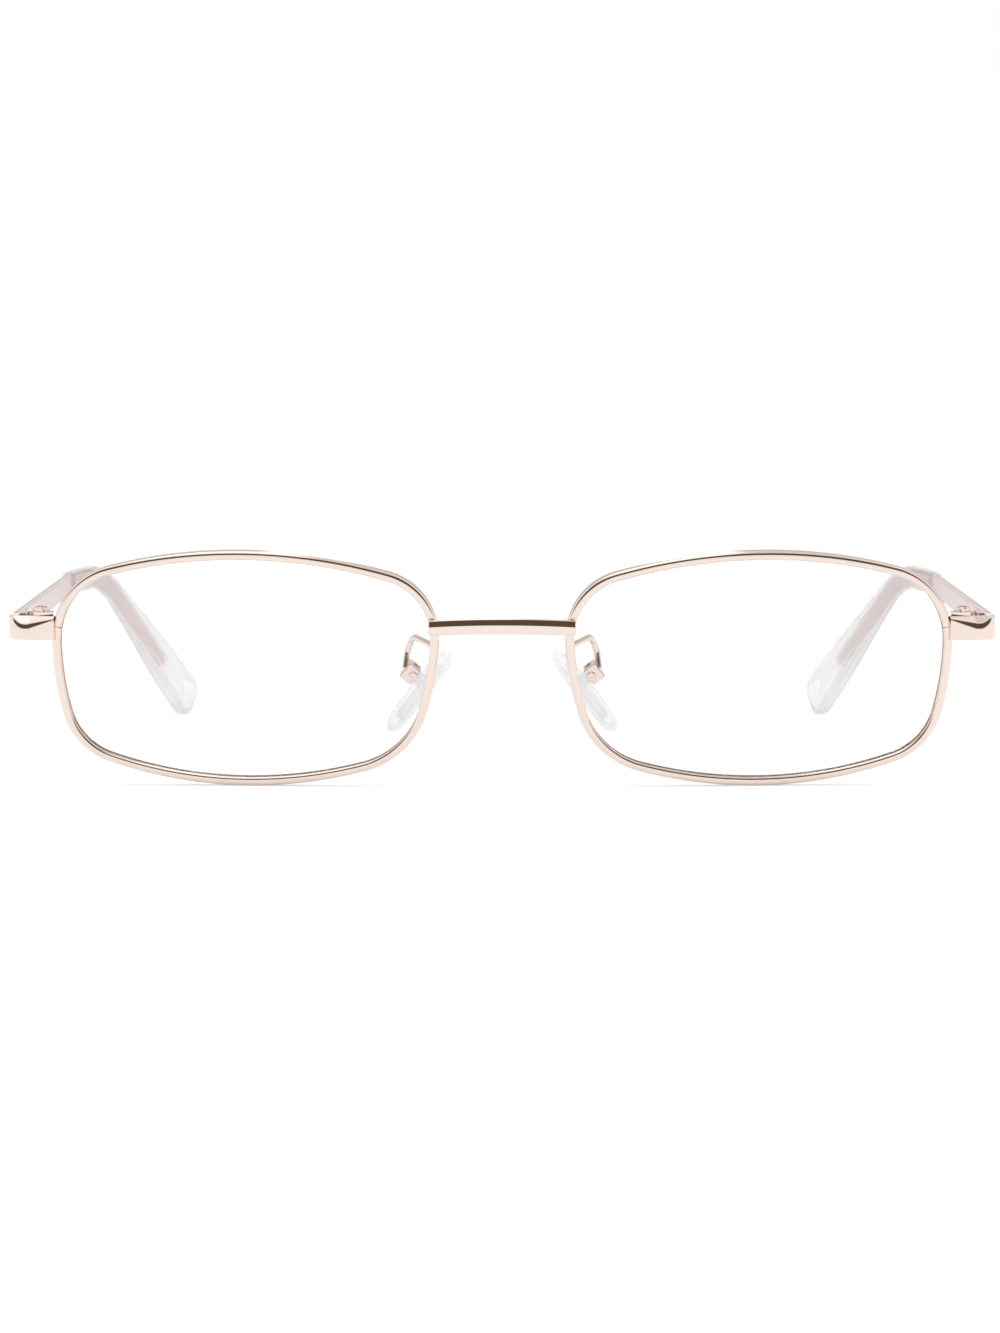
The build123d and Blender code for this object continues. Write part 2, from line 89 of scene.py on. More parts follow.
class FrontSizes(bpy.types.PropertyGroup):
    """Sizes of the lenses, the rims and the bridge"""

    lens_width: length("Lens width", 52.0, "Width of the boxed lens")
    lens_height: length("Lens height", 31.3, "Height of the boxed lens")
    bridge_distance: length("Bridge distance", 18.65, "Distance between the two boxed lenses")
    base_curve_radius: length("Base curve", 130.0, "Radius that the lens is bent to")
    front_place: length("Front place", -64.85, "Place of the front along Y")
    lean: angle("Lean", 9.0, "Lean of the front, its top towards the viewer")
    wrap: angle("Wrap", 4.0, "Turn of each lens outwards")
    rim_wall: length("Rim wall", 0.75, "Metal outside the lens edge")
    groove_depth: length("Groove depth", 0.5, "Depth of the groove for the lens edge")
    groove_width: length("Groove width", 0.9, "Width of the groove for the lens edge")
    rim_depth: length("Rim depth", 1.9, "Depth of the rim from front to back")
    rim_round: length("Rim rounding", 0.52, "Radius along the rim's edges")
    split_rise: length("Split rise", 5.2, "Height of the split above the lens centre")
    split_gap: length("Split gap", 0.12, "Width of the split in the rim")
    bridge_rise: length("Bridge rise", 6.46, "Height of the bridge above the lens centres")
    bridge_lap: length("Bridge lap", 0.725, "Length of the bridge on the front of each rim")
    bridge_middle_reach: length("Bridge reach", 2.5, "Reach of the bridge's middle forwards")
    bridge_end_reach: length("Bridge end reach", 1.75, "Reach of the bridge's ends forwards")
    bridge_depth: length("Bridge depth", 1.5, "Depth of the bridge from front to back")
    bridge_middle_height: length("Bridge height", 2.15, "Height of the bridge in its middle")
    bridge_end_height: length("Bridge end height", 1.95, "Height of the bridge at its ends")
    bridge_arch: length("Bridge arch", 0.35, "Rise of the bridge from its ends to its middle")
    bridge_facet_height: length("Facet height", 0.82, "Height of the facet along the bridge's top")
    bridge_facet_depth: length("Facet depth", 0.45, "Depth of the facet along the bridge's top")
    bridge_round: length("Bridge rounding", 0.25, "Radius along the bridge's edges")


class TempleSizes(bpy.types.PropertyGroup):
    """Sizes of the hinges, the temples and their clear tips"""

    hinge_outset: length("Hinge outset", 3.325, "Distance of the hinge axis outside the rim")
    hinge_rise: length("Hinge rise", 4.25, "Height of the hinge above the lens centre")
    hinge_setback: length("Hinge setback", 10.1, "Distance of the hinge behind the front")
    temple_line: length("Temple line", 2.1, "Distance of the temple's middle from the hinge axis")
    butt_gap: length("Butt gap", 0.1, "Gap between the temple and the endpiece")
    straight_run: length("Straight run", 76.0, "Length of the temple's straight stretch")
    tuck_run: length("Tuck run", 17.4, "Length of the stretch that tucks inwards")
    tip_run: length("Tip run", 40.6, "Length of the stretch that drops behind the ear")
    splay: angle("Splay", 1.7, "Turn of the temple outwards")
    tuck: angle("Tuck", 11.6, "Turn of the temple inwards ahead of the ear")
    dip: angle("Dip", 38.5, "Drop of the tip behind the ear")
    tip_inward: angle("Tip inward", 23.7, "Turn of the tip inwards")
    tuck_bend_radius: length("Tuck bend", 50.0, "Radius of the bend ahead of the ear")
    drop_bend_radius: length("Drop bend", 20.0, "Radius of the bend over the ear")
    plate_length: length("Plate length", 73.0, "Length of the temple that shows as bare metal")
    temple_height: length("Temple height", 3.4, "Height of the metal temple at its hinge")
    temple_mouth_height: length("Mouth height", 3.2, "Height of the metal temple at the tip's mouth")
    temple_thickness: length("Temple thickness", 1.2, "Thickness of the metal temple")
    temple_edge_round: length("Temple rounding", 0.4, "Radius along the temple's edges")
    core_height: length("Core height", 2.8, "Height of the core where it enters the tip")
    core_end_height: length("Core end height", 2.0, "Height of the core at its end")
    core_thickness: length("Core thickness", 1.0, "Thickness of the core inside the tip")
    core_end_margin: length("Core margin", 14.0, "Clear length of the tip past the core's end")
    tip_mouth_height: length("Tip mouth height", 3.8, "Height of the clear tip at its mouth")
    tip_mouth_width: length("Tip mouth width", 2.2, "Width of the clear tip at its mouth")
    tip_neck_height: length("Tip neck height", 3.75, "Height of the clear tip at its neck")
    tip_neck_width: length("Tip neck width", 2.3, "Width of the clear tip at its neck")
    tip_paddle_height: length("Paddle height", 7.0, "Height of the clear tip at its paddle")
    tip_paddle_width: length("Paddle width", 3.1, "Width of the clear tip at its paddle")


class EndpieceSizes(bpy.types.PropertyGroup):
    """Sizes of the endpieces between the rims and the hinges"""

    height: length("Height", 3.3, "Height of the endpiece")
    thickness: length("Thickness", 1.6, "Thickness of the endpiece beside the rim")
    reach: length("Reach", 7.0, "Reach of the endpiece forward of the hinge")
    lap: length("Lap", 0.55, "Length of the endpiece that laps the rim")
    sweep: angle("Sweep", 8.7, "Slant of the endpiece, its outer end backwards")
    bend: length("Bend", 2.1, "Radius of the bend into the temple, along its middle")
    rounding: length("Rounding", 0.3, "Radius along the endpiece's edges")
    facet_slope: angle("Facet slope", 40.0, "Slope of the facet along the upper front edge")
    facet_drop: length("Facet drop", 1.3, "Greatest height of the facet")
    facet_start_drop: length("Facet start drop", 0.4, "Height of the facet beside the rim")
    facet_blend: length("Facet blend", 1.7, "Greatest radius between the facet and the front")


class PadSizes(bpy.types.PropertyGroup):
    """Sizes of the nose pads and the wires that carry them"""

    pad_outset: length("Pad outset", 2.975, "Distance of the pad's axis outside the lens edge")
    pad_drop: length("Pad drop", 2.1, "Distance of the pad's axis below the lens centre")
    pad_setback: length("Pad setback", 6.7, "Distance of the pad's axis behind the front")
    pad_tilt: angle("Pad tilt", 38.0, "Lean of the pad outwards at its foot")
    pad_length: length("Pad length", 13.8, "Length of the soft pad")
    pad_width: length("Pad width", 7.2, "Width of the soft pad")
    pad_thickness: length("Pad thickness", 2.3, "Thickness of the soft pad in its middle")
    pad_offset: length("Pad offset", 2.1, "Distance of the pad's middle from its axis")
    pad_slide: length("Pad slide", 1.4, "Distance of the pad's middle below its axis")
    arm_radius: length("Arm radius", 0.45, "Radius of the pad arm's wire")
    arm_start_rise: length("Arm rise", 3.0, "Height at which the arm leaves the rim")
    box_back: length("Box back", 1.53, "Distance of the pad box's back from the pad's axis")


class Finishes(bpy.types.PropertyGroup):
    """Colours of the metals and the clear plastics"""

    rim_gold: colour("Rim gold", (0.905, 0.77, 0.695), "Polished pale rose gold of the front")
    screw_gold: colour("Screw gold", (0.90, 0.76, 0.71), "Pinker gold of screws, hinges and pad boxes")
    temple_rose: colour("Temple rose", (0.80, 0.68, 0.67), "Satin pinkish metal of the temples")
    lens_tint: colour("Lens tint", (0.995, 0.998, 0.997), "Tint of the clear lenses")
    tip_tint: colour("Tip tint", (0.955, 0.942, 0.944), "Tint of the clear tips")
    pad_tint: colour("Pad tint", (0.975, 0.975, 0.978), "Tint of the soft clear pads")
    floor_white: colour("Floor white", (0.7, 0.7, 0.7), "White of the table and backdrop")


class StageSizes(bpy.types.PropertyGroup):
    """Camera, floor and light"""

    camera_place: FloatVectorProperty(
        name="Camera place",
        description="Place of the camera",
        default=(-0.3 * MM, -516.64 * MM, 45.3 * MM),
        unit="LENGTH",
        subtype="TRANSLATION",
    )
    camera_tilt: angle("Camera tilt", 3.638, "Tilt of the camera below the horizon")
    focal_length: FloatProperty(
        name="Focal length", description="Focal length of the camera", default=89.69, unit="CAMERA"
    )
    floor_reach: length("Floor reach", 3000.0, "Half the side of the floor")
    softbox_height: length("Softbox height", 700.0, "Height of the soft light above the table")
    softbox_setback: length("Softbox setback", 150.0, "Distance of the soft light behind the middle")
    softbox_side: length("Softbox side", 900.0, "Side of the square soft light")
    softbox_power: FloatProperty(
        name="Softbox power", description="Power of the soft light", default=1.6, unit="POWER"
    )


class Socket:
    """A node's output that takes part in Python expressions"""

    def __init__(self, graph, socket):
        self.graph = graph
        self.socket = socket

    def join(self, operation, other, swapped=False):
        """Adds the maths node for one operator"""
        return self.graph.maths(operation, *((other, self) if swapped else (self, other)))

    __add__ = partialmethod(join, "ADD")
    __radd__ = partialmethod(join, "ADD", swapped=True)
    __sub__ = partialmethod(join, "SUBTRACT")
    __rsub__ = partialmethod(join, "SUBTRACT", swapped=True)
    __mul__ = partialmethod(join, "MULTIPLY")
    __gt__ = partialmethod(join, "GREATER_THAN")


class Graph:
    """Adds nodes to a shader tree or a geometry tree"""

    def __init__(self, tree):
        self.tree = tree

    def add(self, kind, sockets=None, output=0, **settings):
        """Adds a node: its settings first, then the values or links of its sockets"""
        node = self.tree.nodes.new(kind)
        for name, value in settings.items():
            setattr(node, name, value)
        for name, value in (sockets or {}).items():
            self.feed(node.inputs[name], value)
        return Socket(self, node.outputs[output]) if node.outputs else None

    def feed(self, target, value):
        """Links a socket, or each of a list of them, or sets a plain value"""
        if isinstance(value, list):
            for item in value:
                self.feed(target, item)
        elif isinstance(value, Socket):
            self.tree.links.new(value.socket, target)
        else:
            target.default_value = value

    def maths(self, operation, *values):
        """Adds a Math node, or a Vector Math node where a value is a vector"""
        kind = "ShaderNodeMath"
        if any(isinstance(value, Socket) and value.socket.type == "VECTOR" for value in values):
            kind = "ShaderNodeVectorMath"
            values = [(v, v, v) if isinstance(v, (int, float)) else v for v in values]
        return self.add(kind, dict(enumerate(values)), operation=operation)

    def mix(self, factor, first, second):
        """Adds a colour mix"""
        return self.add("ShaderNodeMix", {0: factor, 6: first, 7: second}, 2, data_type="RGBA")

    def mix_shaders(self, factor, first, second):
        """Adds a shader mix"""
        return self.add("ShaderNodeMixShader", {0: factor, 1: first, 2: second})

    def noise(self, scale, detail=2.0, stretch=(1, 1, 1)):
        """Adds noise on Object coordinates, stretched along the axes"""
        place = self.add("ShaderNodeTexCoord", output="Object")
        mapped = self.add("ShaderNodeMapping", {"Vector": place, "Scale": stretch})
        sockets = {"Vector": mapped, "Scale": scale, "Detail": detail}
        return self.add("ShaderNodeTexNoise", sockets)

    def bump(self, height, strength, distance):
        """Adds a bump from a height"""
        sockets = {"Height": height, "Strength": strength, "Distance": distance}
        return self.add("ShaderNodeBump", sockets)

    def ramp(self, value, low, high):
        """Smooth step from 0 at low to 1 at high"""
        sockets = {"Value": value, "From Min": low, "From Max": high}
        return self.add("ShaderNodeMapRange", sockets, interpolation_type="SMOOTHSTEP")

    def ray(self, kind):
        """1 for rays of a kind, else 0"""
        return self.add("ShaderNodeLightPath", output=f"Is {kind} Ray")

    def seen_directly(self):
        """1 for camera, glossy and transmission rays, else 0"""
        seen = self.maths("MAXIMUM", self.ray("Camera"), self.ray("Glossy"))
        return self.maths("MAXIMUM", seen, self.ray("Transmission"))

    def split(self, vector):
        """Parts of a vector along X, Y and Z"""
        node = self.add("ShaderNodeSeparateXYZ", {0: vector}).socket.node
        return [Socket(self, part) for part in node.outputs]

    def named(self, title, kind="FLOAT_VECTOR"):
        """Adds a named attribute"""
        return self.add("GeometryNodeInputNamedAttribute", {"Name": title}, data_type=kind)

    def creased(self, geometry, sharpest):
        """Smooth shading, but for the edges that turn by more than an angle"""
        shaded = {"Geometry": geometry, "Shade Smooth": True}
        smooth = self.add("GeometryNodeSetShadeSmooth", shaded, domain="FACE")
        bend = self.add("GeometryNodeInputMeshEdgeAngle", output="Unsigned Angle")
        sharp = {"Geometry": smooth, "Selection": bend > sharpest, "Shade Smooth": False}
        return self.add("GeometryNodeSetShadeSmooth", sharp, domain="EDGE")

    def finish(self, shader, kind="ShaderNodeOutputMaterial"):
        """Links the shader to the tree's output"""
        self.add(kind, {"Surface": shader})


def rgba(value, shade=1.0):
    """Colour with its alpha, darkened by shade"""
    return (value[0] * shade, value[1] * shade, value[2] * shade, 1)


def new_material(name):
    """A material with an empty node tree, and its graph"""
    material = bpy.data.materials.new(name)
    material.use_nodes = True
    material.node_tree.nodes.clear()
    return material, Graph(material.node_tree)


def metal(name, tone, roughness, grain, scratches):
    """Polished or satin metal: slow changes of tone, fine grain and faint scratches"""
    grain_share = 0.5
    rub_share = 0.4
    rub_level = 0.66
    rub_relief_share = 0.5
    material, graph = new_material(name)
    base = graph.mix(graph.noise(scale=220.0), rgba(tone, shade=0.965), rgba(tone))
    fine = graph.noise(scale=grain, detail=4.0)
    rubbed = graph.noise(scale=1400.0, detail=3.0, stretch=(0.15, 1, 1))
    sheen = roughness + fine * (grain_share * roughness)
    sheen += (rubbed > rub_level) * (rub_share * roughness)
    relief = graph.bump(fine + rubbed * rub_relief_share, strength=scratches, distance=2e-6)
    sockets = {"Base Color": base, "Metallic": 1.0, "Roughness": sheen, "Normal": relief}
    graph.finish(graph.add("ShaderNodeBsdfPrincipled", sockets))
    return material


def clear_plastic(name, tint, roughness, ior, cloud, ghost):
    """Clear plastic with a slow change of roughness, a milky share and an unbent share"""
    roughness_share = 0.4
    cloud_share = 0.3
    material, graph = new_material(name)
    slow = graph.noise(scale=300.0)
    base = graph.mix(slow, rgba(tint, shade=0.99), rgba(tint))
    ripple = graph.noise(scale=900.0, detail=3.0)
    clear = graph.add(
        "ShaderNodeBsdfPrincipled",
        {
            "Base Color": base,
            "Roughness": roughness + slow * (roughness_share * roughness),
            "IOR": ior,
            "Transmission Weight": 1.0,
            "Normal": graph.bump(ripple, strength=0.06, distance=2e-5),
        },
    )
    through = graph.add("ShaderNodeBsdfTransparent", {"Color": base})
    body = graph.mix_shaders(ghost, clear, through)
    milk = graph.add("ShaderNodeBsdfPrincipled", {"Base Color": base, "Roughness": 0.4})
    haze = cloud + (slow - 0.5) * (cloud_share * cloud)
    graph.finish(graph.mix_shaders(haze, body, milk))
    return material


# Roughness, scale of the grain and strength of the scratches of each metal
METALS = {
    "rim_gold": (0.07, 2600.0, 0.1),
    "screw_gold": (0.16, 3200.0, 0.2),
    "temple_rose": (0.24, 3000.0, 0.25),
}
# Tint, roughness, refraction, milky share and unbent share of each clear plastic
PLASTICS = {
    "lens_clear": ("lens_tint", 0.0, 1.5, 0.0, 0.93),
    "tip_clear": ("tip_tint", 0.06, 1.46, 0.14, 0.55),
    "core_clear": ("pad_tint", 0.05, 1.5, 0.05, 0.85),
    "pad_clear": ("pad_tint", 0.18, 1.41, 0.13, 0.74),
}
materials = {}


def make_materials(finishes):
    """All the finishes, by the record's slot names"""
    for name, values in METALS.items():
        materials[name] = metal(name, getattr(finishes, name), *values)
    for name, (tint, *values) in PLASTICS.items():
        materials[name] = clear_plastic(name, getattr(finishes, tint), *values)


def spread(start, end, count):
    """Evenly spaced values from start to end"""
    return [start + (end - start) * index / (count - 1) for index in range(count)]


def between(first, last, share):
    """Value at a share of the way from first to last"""
    return first + (last - first) * share


def plane_at(origin, x_axis, y_axis, z_axis):
    """Matrix of a plane from its origin and axes"""
    matrix = Matrix((x_axis, y_axis, z_axis)).transposed().to_4x4()
    matrix.translation = origin
    return matrix


def turned(matrix, place, axis, turn):
    """A plane's matrix, moved to a place in it and turned there about one of its axes"""
    return matrix @ Matrix.Translation(place) @ Matrix.Rotation(turn, 4, axis)


def toward(inward, downward, reach):
    """Step along the temple, turned inward and downward"""
    across = -reach * cos(downward) * sin(inward)
    return Vector((across, reach * cos(downward) * cos(inward), -reach * sin(downward)))


class Layout:
    """Planes and lines of the right half, worked out from the sizes as in the part's source"""

    paddle_foot_share = 0.2

    def __init__(self, front, temple, pad):
        self.front = self.front_plane(front)
        self.lens_centre = (front.lens_width + front.bridge_distance) / 2
        self.lens = turned(self.front, (self.lens_centre, 0, 0), "Y", front.wrap)
        self.rim_edge = self.lens_centre + front.lens_width / 2 + front.rim_wall
        corners = self.temple_corners(temple)
        self.side = self.side_plane(temple, corners[-1])
        self.temple_points = [self.side @ corner for corner in corners]
        pad_across = front.bridge_distance / 2 + pad.pad_outset
        self.pad_place = Vector((pad_across, -pad.pad_drop, -pad.pad_setback))
        backward = turned(self.front, self.pad_place, "X", -pi / 2)
        self.pad = turned(backward, (0, 0, 0), "Y", -pad.pad_tilt)

    def front_plane(self, front):
        """Plane of the leaning front through both lens centres, its rims standing on the table"""
        half_height = front.lens_height / 2 + front.rim_wall
        sag = half_height**2 / (2 * front.base_curve_radius)
        rounded_off = front.rim_round * (cos(front.lean) + sin(front.lean) - 1)
        height = half_height * cos(front.lean) + (front.rim_depth / 2 - sag) * sin(front.lean)
        return plane_at(
            Vector((0, front.front_place, height - rounded_off)),
            (1, 0, 0),
            (0, -sin(front.lean), cos(front.lean)),
            (0, -cos(front.lean), -sin(front.lean)),
        )

    def side_plane(self, temple, tip_end):
        """Plane of the temple at its hinge, sloping so that the tip rests on the table too"""
        hinge_across = self.rim_edge + temple.hinge_outset
        hinge = self.front @ Vector((hinge_across, temple.hinge_rise, -temple.hinge_setback))
        reach = hypot(tip_end.y, tip_end.z)
        foot = temple.tip_paddle_height * self.paddle_foot_share
        rise = atan2(-tip_end.z, tip_end.y) - asin((hinge.z - foot) / reach)
        level = turned(Matrix.Translation(hinge), (0, 0, 0), "X", rise)
        return turned(level, (0, 0, 0), "Z", -temple.splay)

    def temple_corners(self, temple):
        """Corners of the temple's line in the side plane"""
        start = Vector((temple.temple_line, temple.butt_gap / 2, 0))
        bend = Vector((temple.temple_line, temple.straight_run, 0))
        drop = bend + toward(temple.tuck, 0, temple.tuck_run)
        return start, bend, drop, drop + toward(temple.tip_inward, temple.dip, temple.tip_run)


def current_layout(context):
    """The layout for the scene's present sizes"""
    scene = context.scene
    return Layout(scene.glasses_front, scene.glasses_temple, scene.glasses_pad)


class Route:
    """A line through corners that are rounded by arcs, measured by its length"""

    fewest_arc_steps = 3

    def __init__(self, corners, radii, step):
        points = [corners[0]]
        for before, corner, after, radius in zip(corners, corners[1:], corners[2:], radii):
            into = (corner - before).normalized()
            out = (after - corner).normalized()
            turn = into.angle(out)
            centre = corner + (out - into).normalized() * (radius / cos(turn / 2))
            start = corner - into * (radius * tan(turn / 2)) - centre
            count = max(self.fewest_arc_steps, int(radius * turn / step))
            for part in spread(0, turn, count + 1):
                points.append(centre + Matrix.Rotation(part, 3, into.cross(out)) @ start)
        points.append(corners[-1])
        self.points = points
        self.marks = [0.0]
        for first, second in zip(points, points[1:]):
            self.marks.append(self.marks[-1] + (second - first).length)
        self.length = self.marks[-1]

    def place(self, distance):
        """Place at a distance along the line"""
        distance = min(max(distance, 0.0), self.length)
        index = max(i for i, mark in enumerate(self.marks[:-1]) if mark <= distance)
        first, second = self.points[index], self.points[index + 1]
        return first.lerp(second, (distance - self.marks[index]) / (second - first).length)

    def at(self, distance, reach=0.2 * MM):
        """Place at a distance along the line, and its direction over a reach to each side"""
        along = self.place(distance + reach) - self.place(distance - reach)
        return self.place(distance), along.normalized()


PROFILE_SHARES = ("corner_share", "arc_share", "cut_share", "blend_share")
STATION_VECTORS = ("centre", "across", "up", "half", "cut")
STATION_NUMBERS = ("rounding", "blend")
SCREW_AXES = ("axis", "slot_line")
WORKING_FIELDS = (*PROFILE_SHARES, *STATION_VECTORS, *STATION_NUMBERS, *SCREW_AXES)


def station(centre, across, up, size, rounding, cut=(0.0, 0.0), blend=0.0):
    """One cross-section of a bar: its middle, axes, size, edge rounding, cut and blend"""
    return {
        "centre": Vector(centre),
        "across": Vector(across),
        "up": Vector(up),
        "half": Vector((size[0] / 2, size[1] / 2, 0)),
        "rounding": rounding,
        "cut": Vector((cut[0], cut[1], 0)),
        "blend": blend,
    }


def route_station(route, level, distance, width, height, rounding):
    """Section square to a route at a distance along it"""
    centre, along = route.at(distance)
    across = along.cross(level).normalized()
    return station(centre, across, across.cross(along), (width, height), rounding)


def facet_cut(drop, slope, rounding, blend):
    """Depth and height that a facet takes off a corner of this rounding, where it drops by
    drop and runs into the front over an arc of radius blend"""
    height = drop - rounding + blend * tan(slope / 2)
    depth = tan(slope) * (height - (blend - rounding) * sin(slope))
    return max(0.0, depth + (blend - rounding) * (1 - cos(slope))), max(0.0, height)


def rounded_profile(steps, facet, groove):
    """Points of a rounded rectangle as shares: corner, arc, cut and blend. A facet of that
    slope cuts its upper outer corner, and a groove runs into its inner side"""
    none = (0, 0, 0)
    points = []
    for x, y, first in ((1, 1, 0), (-1, 1, 90), (-1, -1, 180), (1, -1, 270)):
        corner = (x, y, 0)
        if facet and first == 0:
            for turn in spread(0, facet, steps + 1):
                points.append((corner, (1, 0, 0), (0, -1, 0), (cos(turn) - 1, sin(turn), 0)))
            for turn in spread(facet, pi / 2, steps + 1):
                points.append((corner, (cos(turn), sin(turn), 0), (-1, 0, 0), none))
            continue
        for turn in spread(first, first + 90, steps + 1):
            points.append((corner, (cos(radians(turn)), sin(radians(turn)), 0), none, none))
        if groove and first == 90:
            for cut in ((0, 1, 0), (1, 1, 0), (1, -1, 0), (0, -1, 0)):
                points.append(((-1, 0, 0), (-1, 0, 0), cut, none))
    return points


def linked(name, data):
    """Object of a mesh, a light or a camera, put in the scene"""
    item = bpy.data.objects.new(name, data)
    bpy.context.scene.collection.objects.link(item)
    return item


def write_attribute(mesh, title, values):
    """Gives a mesh's points an attribute of numbers or vectors"""
    is_number = isinstance(values[0], float)
    attribute = mesh.attributes.new(title, "FLOAT" if is_number else "FLOAT_VECTOR", "POINT")
    for item, value in zip(attribute.data, values):
        setattr(item, "value" if is_number else "vector", value)


def profile_object(name, points):
    """A closed loop of profile points that carries their shares as attributes"""
    mesh = bpy.data.meshes.new(name)
    places = [(corner[0] + arc[0], corner[1] + arc[1], 0) for corner, arc, cut, blend in points]
    count = len(points)
    mesh.from_pydata(places, [(i, (i + 1) % count) for i in range(count)], [])
    for title, values in zip(PROFILE_SHARES, zip(*points)):
        write_attribute(mesh, title, values)
    return linked(name, mesh)


def geometry_tree(name, inputs):
    """A geometry tree with a Geometry input and output, and named inputs"""
    tree = bpy.data.node_groups.new(name, "GeometryNodeTree")
    tree.interface.new_socket("Geometry", in_out="INPUT", socket_type="NodeSocketGeometry")
    tree.interface.new_socket("Geometry", in_out="OUTPUT", socket_type="NodeSocketGeometry")
    for title, kind in inputs.items():
        tree.interface.new_socket(title, in_out="INPUT", socket_type=f"NodeSocket{kind}")
    graph = Graph(tree)
    source = tree.nodes.new("NodeGroupInput")
    return tree, graph, {s.name: Socket(graph, s) for s in source.outputs if s.name}


def close_tree(graph, geometry, material):
    """Ends a tree in Realize Instances and Set Material"""
    real = graph.add("GeometryNodeRealizeInstances", {"Geometry": geometry})
    done = graph.add("GeometryNodeSetMaterial", {"Geometry": real, "Material": material})
    graph.add("NodeGroupOutput", {"Geometry": done})


def bar_tree(name):
    """Tree that sweeps a profile along a line of stations, each with its own section"""
    inputs = {"Profile": "Object", "Crease angle": "Float", "Material": "Material"}
    tree, graph, given = geometry_tree(name, inputs)
    profile = graph.add("GeometryNodeObjectInfo", {"Object": given["Profile"]}, "Geometry")
    loop = graph.add("GeometryNodeMeshToCurve", {"Mesh": profile})
    path = graph.add("GeometryNodeMeshToCurve", {"Mesh": given["Geometry"]})
    sweep = {"Curve": path, "Profile Curve": loop, "Fill Caps": True}
    swept = graph.add("GeometryNodeCurveToMesh", sweep)
    rounding = graph.named("rounding", "FLOAT")
    offset = (
        graph.named("corner_share") * (graph.named("half") - rounding)
        + graph.named("arc_share") * rounding
        + graph.named("cut_share") * graph.named("cut")
        + graph.named("blend_share") * graph.named("blend", "FLOAT")
    )
    across, up = graph.split(offset)[:2]
    place = graph.named("centre") + graph.named("across") * across + graph.named("up") * up
    placed = graph.add("GeometryNodeSetPosition", {"Geometry": swept, "Position": place})
    close_tree(graph, graph.creased(placed, given["Crease angle"]), given["Material"])
    return tree


SCREW_INPUTS = (
    "Shank radius",
    "Shank length",
    "Head radius",
    "Head height",
    "Slot width",
    "Slot depth",
)


def screw_tree(name):
    """Tree that puts a slotted screw on each point, along the point's axis"""
    shank_sides = 32
    head_sides = 48
    wall_share = 0.6
    dome_share = 0.4
    dome_top_share = 0.78
    slot_reach_share = 3.0
    inputs = dict.fromkeys(SCREW_INPUTS, "Float") | {"Material": "Material"}
    tree, graph, given = geometry_tree(name, inputs)
    head_radius, head_height = given["Head radius"], given["Head height"]
    head_foot = given["Shank length"] * 0.5

    def cylinder(sides, radius, depth):
        sockets = {"Vertices": sides, "Radius": radius, "Depth": depth}
        return graph.add("GeometryNodeMeshCylinder", sockets)

    def lifted(geometry, height):
        shift = graph.add("ShaderNodeCombineXYZ", {"Z": height})
        sockets = {"Geometry": geometry, "Translation": shift}
        return graph.add("GeometryNodeTransform", sockets)

    shank = cylinder(shank_sides, given["Shank radius"], given["Shank length"])
    wall = cylinder(head_sides, head_radius, head_height * wall_share)
    dome = graph.add(
        "GeometryNodeMeshCone",
        {
            "Vertices": head_sides,
            "Radius Top": head_radius * dome_top_share,
            "Radius Bottom": head_radius,
            "Depth": head_height * dome_share,
        },
    )
    slot_size = graph.add(
        "ShaderNodeCombineXYZ",
        {
            "X": head_radius * slot_reach_share,
            "Y": given["Slot width"],
            "Z": given["Slot depth"] * 2.0,
        },
    )
    slot = graph.add("GeometryNodeMeshCube", {"Size": slot_size})
    wall_middle = head_foot + head_height * (wall_share / 2)
    dome_foot = head_foot + head_height * wall_share
    parts = [shank, lifted(wall, wall_middle), lifted(dome, dome_foot)]
    body = graph.add(
        "GeometryNodeMeshBoolean", {"Mesh 2": parts}, operation="UNION", solver="EXACT"
    )
    cut = graph.add(
        "GeometryNodeMeshBoolean",
        {"Mesh 1": body, "Mesh 2": lifted(slot, head_foot + head_height)},
        operation="DIFFERENCE",
        solver="EXACT",
    )
    upright = graph.add(
        "FunctionNodeAlignRotationToVector", {"Vector": graph.named("axis")}, axis="Z"
    )
    turned_slot = graph.add(
        "FunctionNodeAlignRotationToVector",
        {"Rotation": upright, "Vector": graph.named("slot_line")},
        axis="X",
        pivot_axis="Z",
    )
    screw = graph.creased(cut, radians(30))
    sockets = {"Points": given["Geometry"], "Instance": screw, "Rotation": turned_slot}
    close_tree(graph, graph.add("GeometryNodeInstanceOnPoints", sockets), given["Material"])
    return tree


TREES = {"Swept bar": bar_tree, "Slotted screws": screw_tree}


def socket_key(tree, title):
    """Identifier of a tree's input, which a modifier's value is set by"""
    return next(
        item.identifier
        for item in tree.interface.items_tree
        if item.item_type == "SOCKET" and item.in_out == "INPUT" and item.name == title
    )


def evaluated(name, source, tree_name, values):
    """Plain mesh object that a tree makes from a source mesh. Its first use builds the tree"""
    tree = bpy.data.node_groups.get(tree_name) or TREES[tree_name](tree_name)
    maker = linked(name + "_source", source)
    modifier = maker.modifiers.new(tree_name, "NODES")
    modifier.node_group = tree
    for title, value in values.items():
        modifier[socket_key(tree, title)] = value
    maker.update_tag()
    bpy.context.view_layer.update()
    depsgraph = bpy.context.evaluated_depsgraph_get()
    mesh = bpy.data.meshes.new_from_object(maker.evaluated_get(depsgraph))
    maker.modifiers.clear()
    bpy.data.objects.remove(maker)
    for title in [a.name for a in mesh.attributes if a.name in WORKING_FIELDS]:
        mesh.attributes.remove(mesh.attributes[title])
    return finished(name, mesh)


def finished(name, mesh):
    """Object of a mesh, with its normals turned outward"""
    work = bmesh.new()
    work.from_mesh(mesh)
    bmesh.ops.recalc_face_normals(work, faces=work.faces)
    work.to_mesh(mesh)
    work.free()
    mesh.name = name
    return linked(name, mesh)


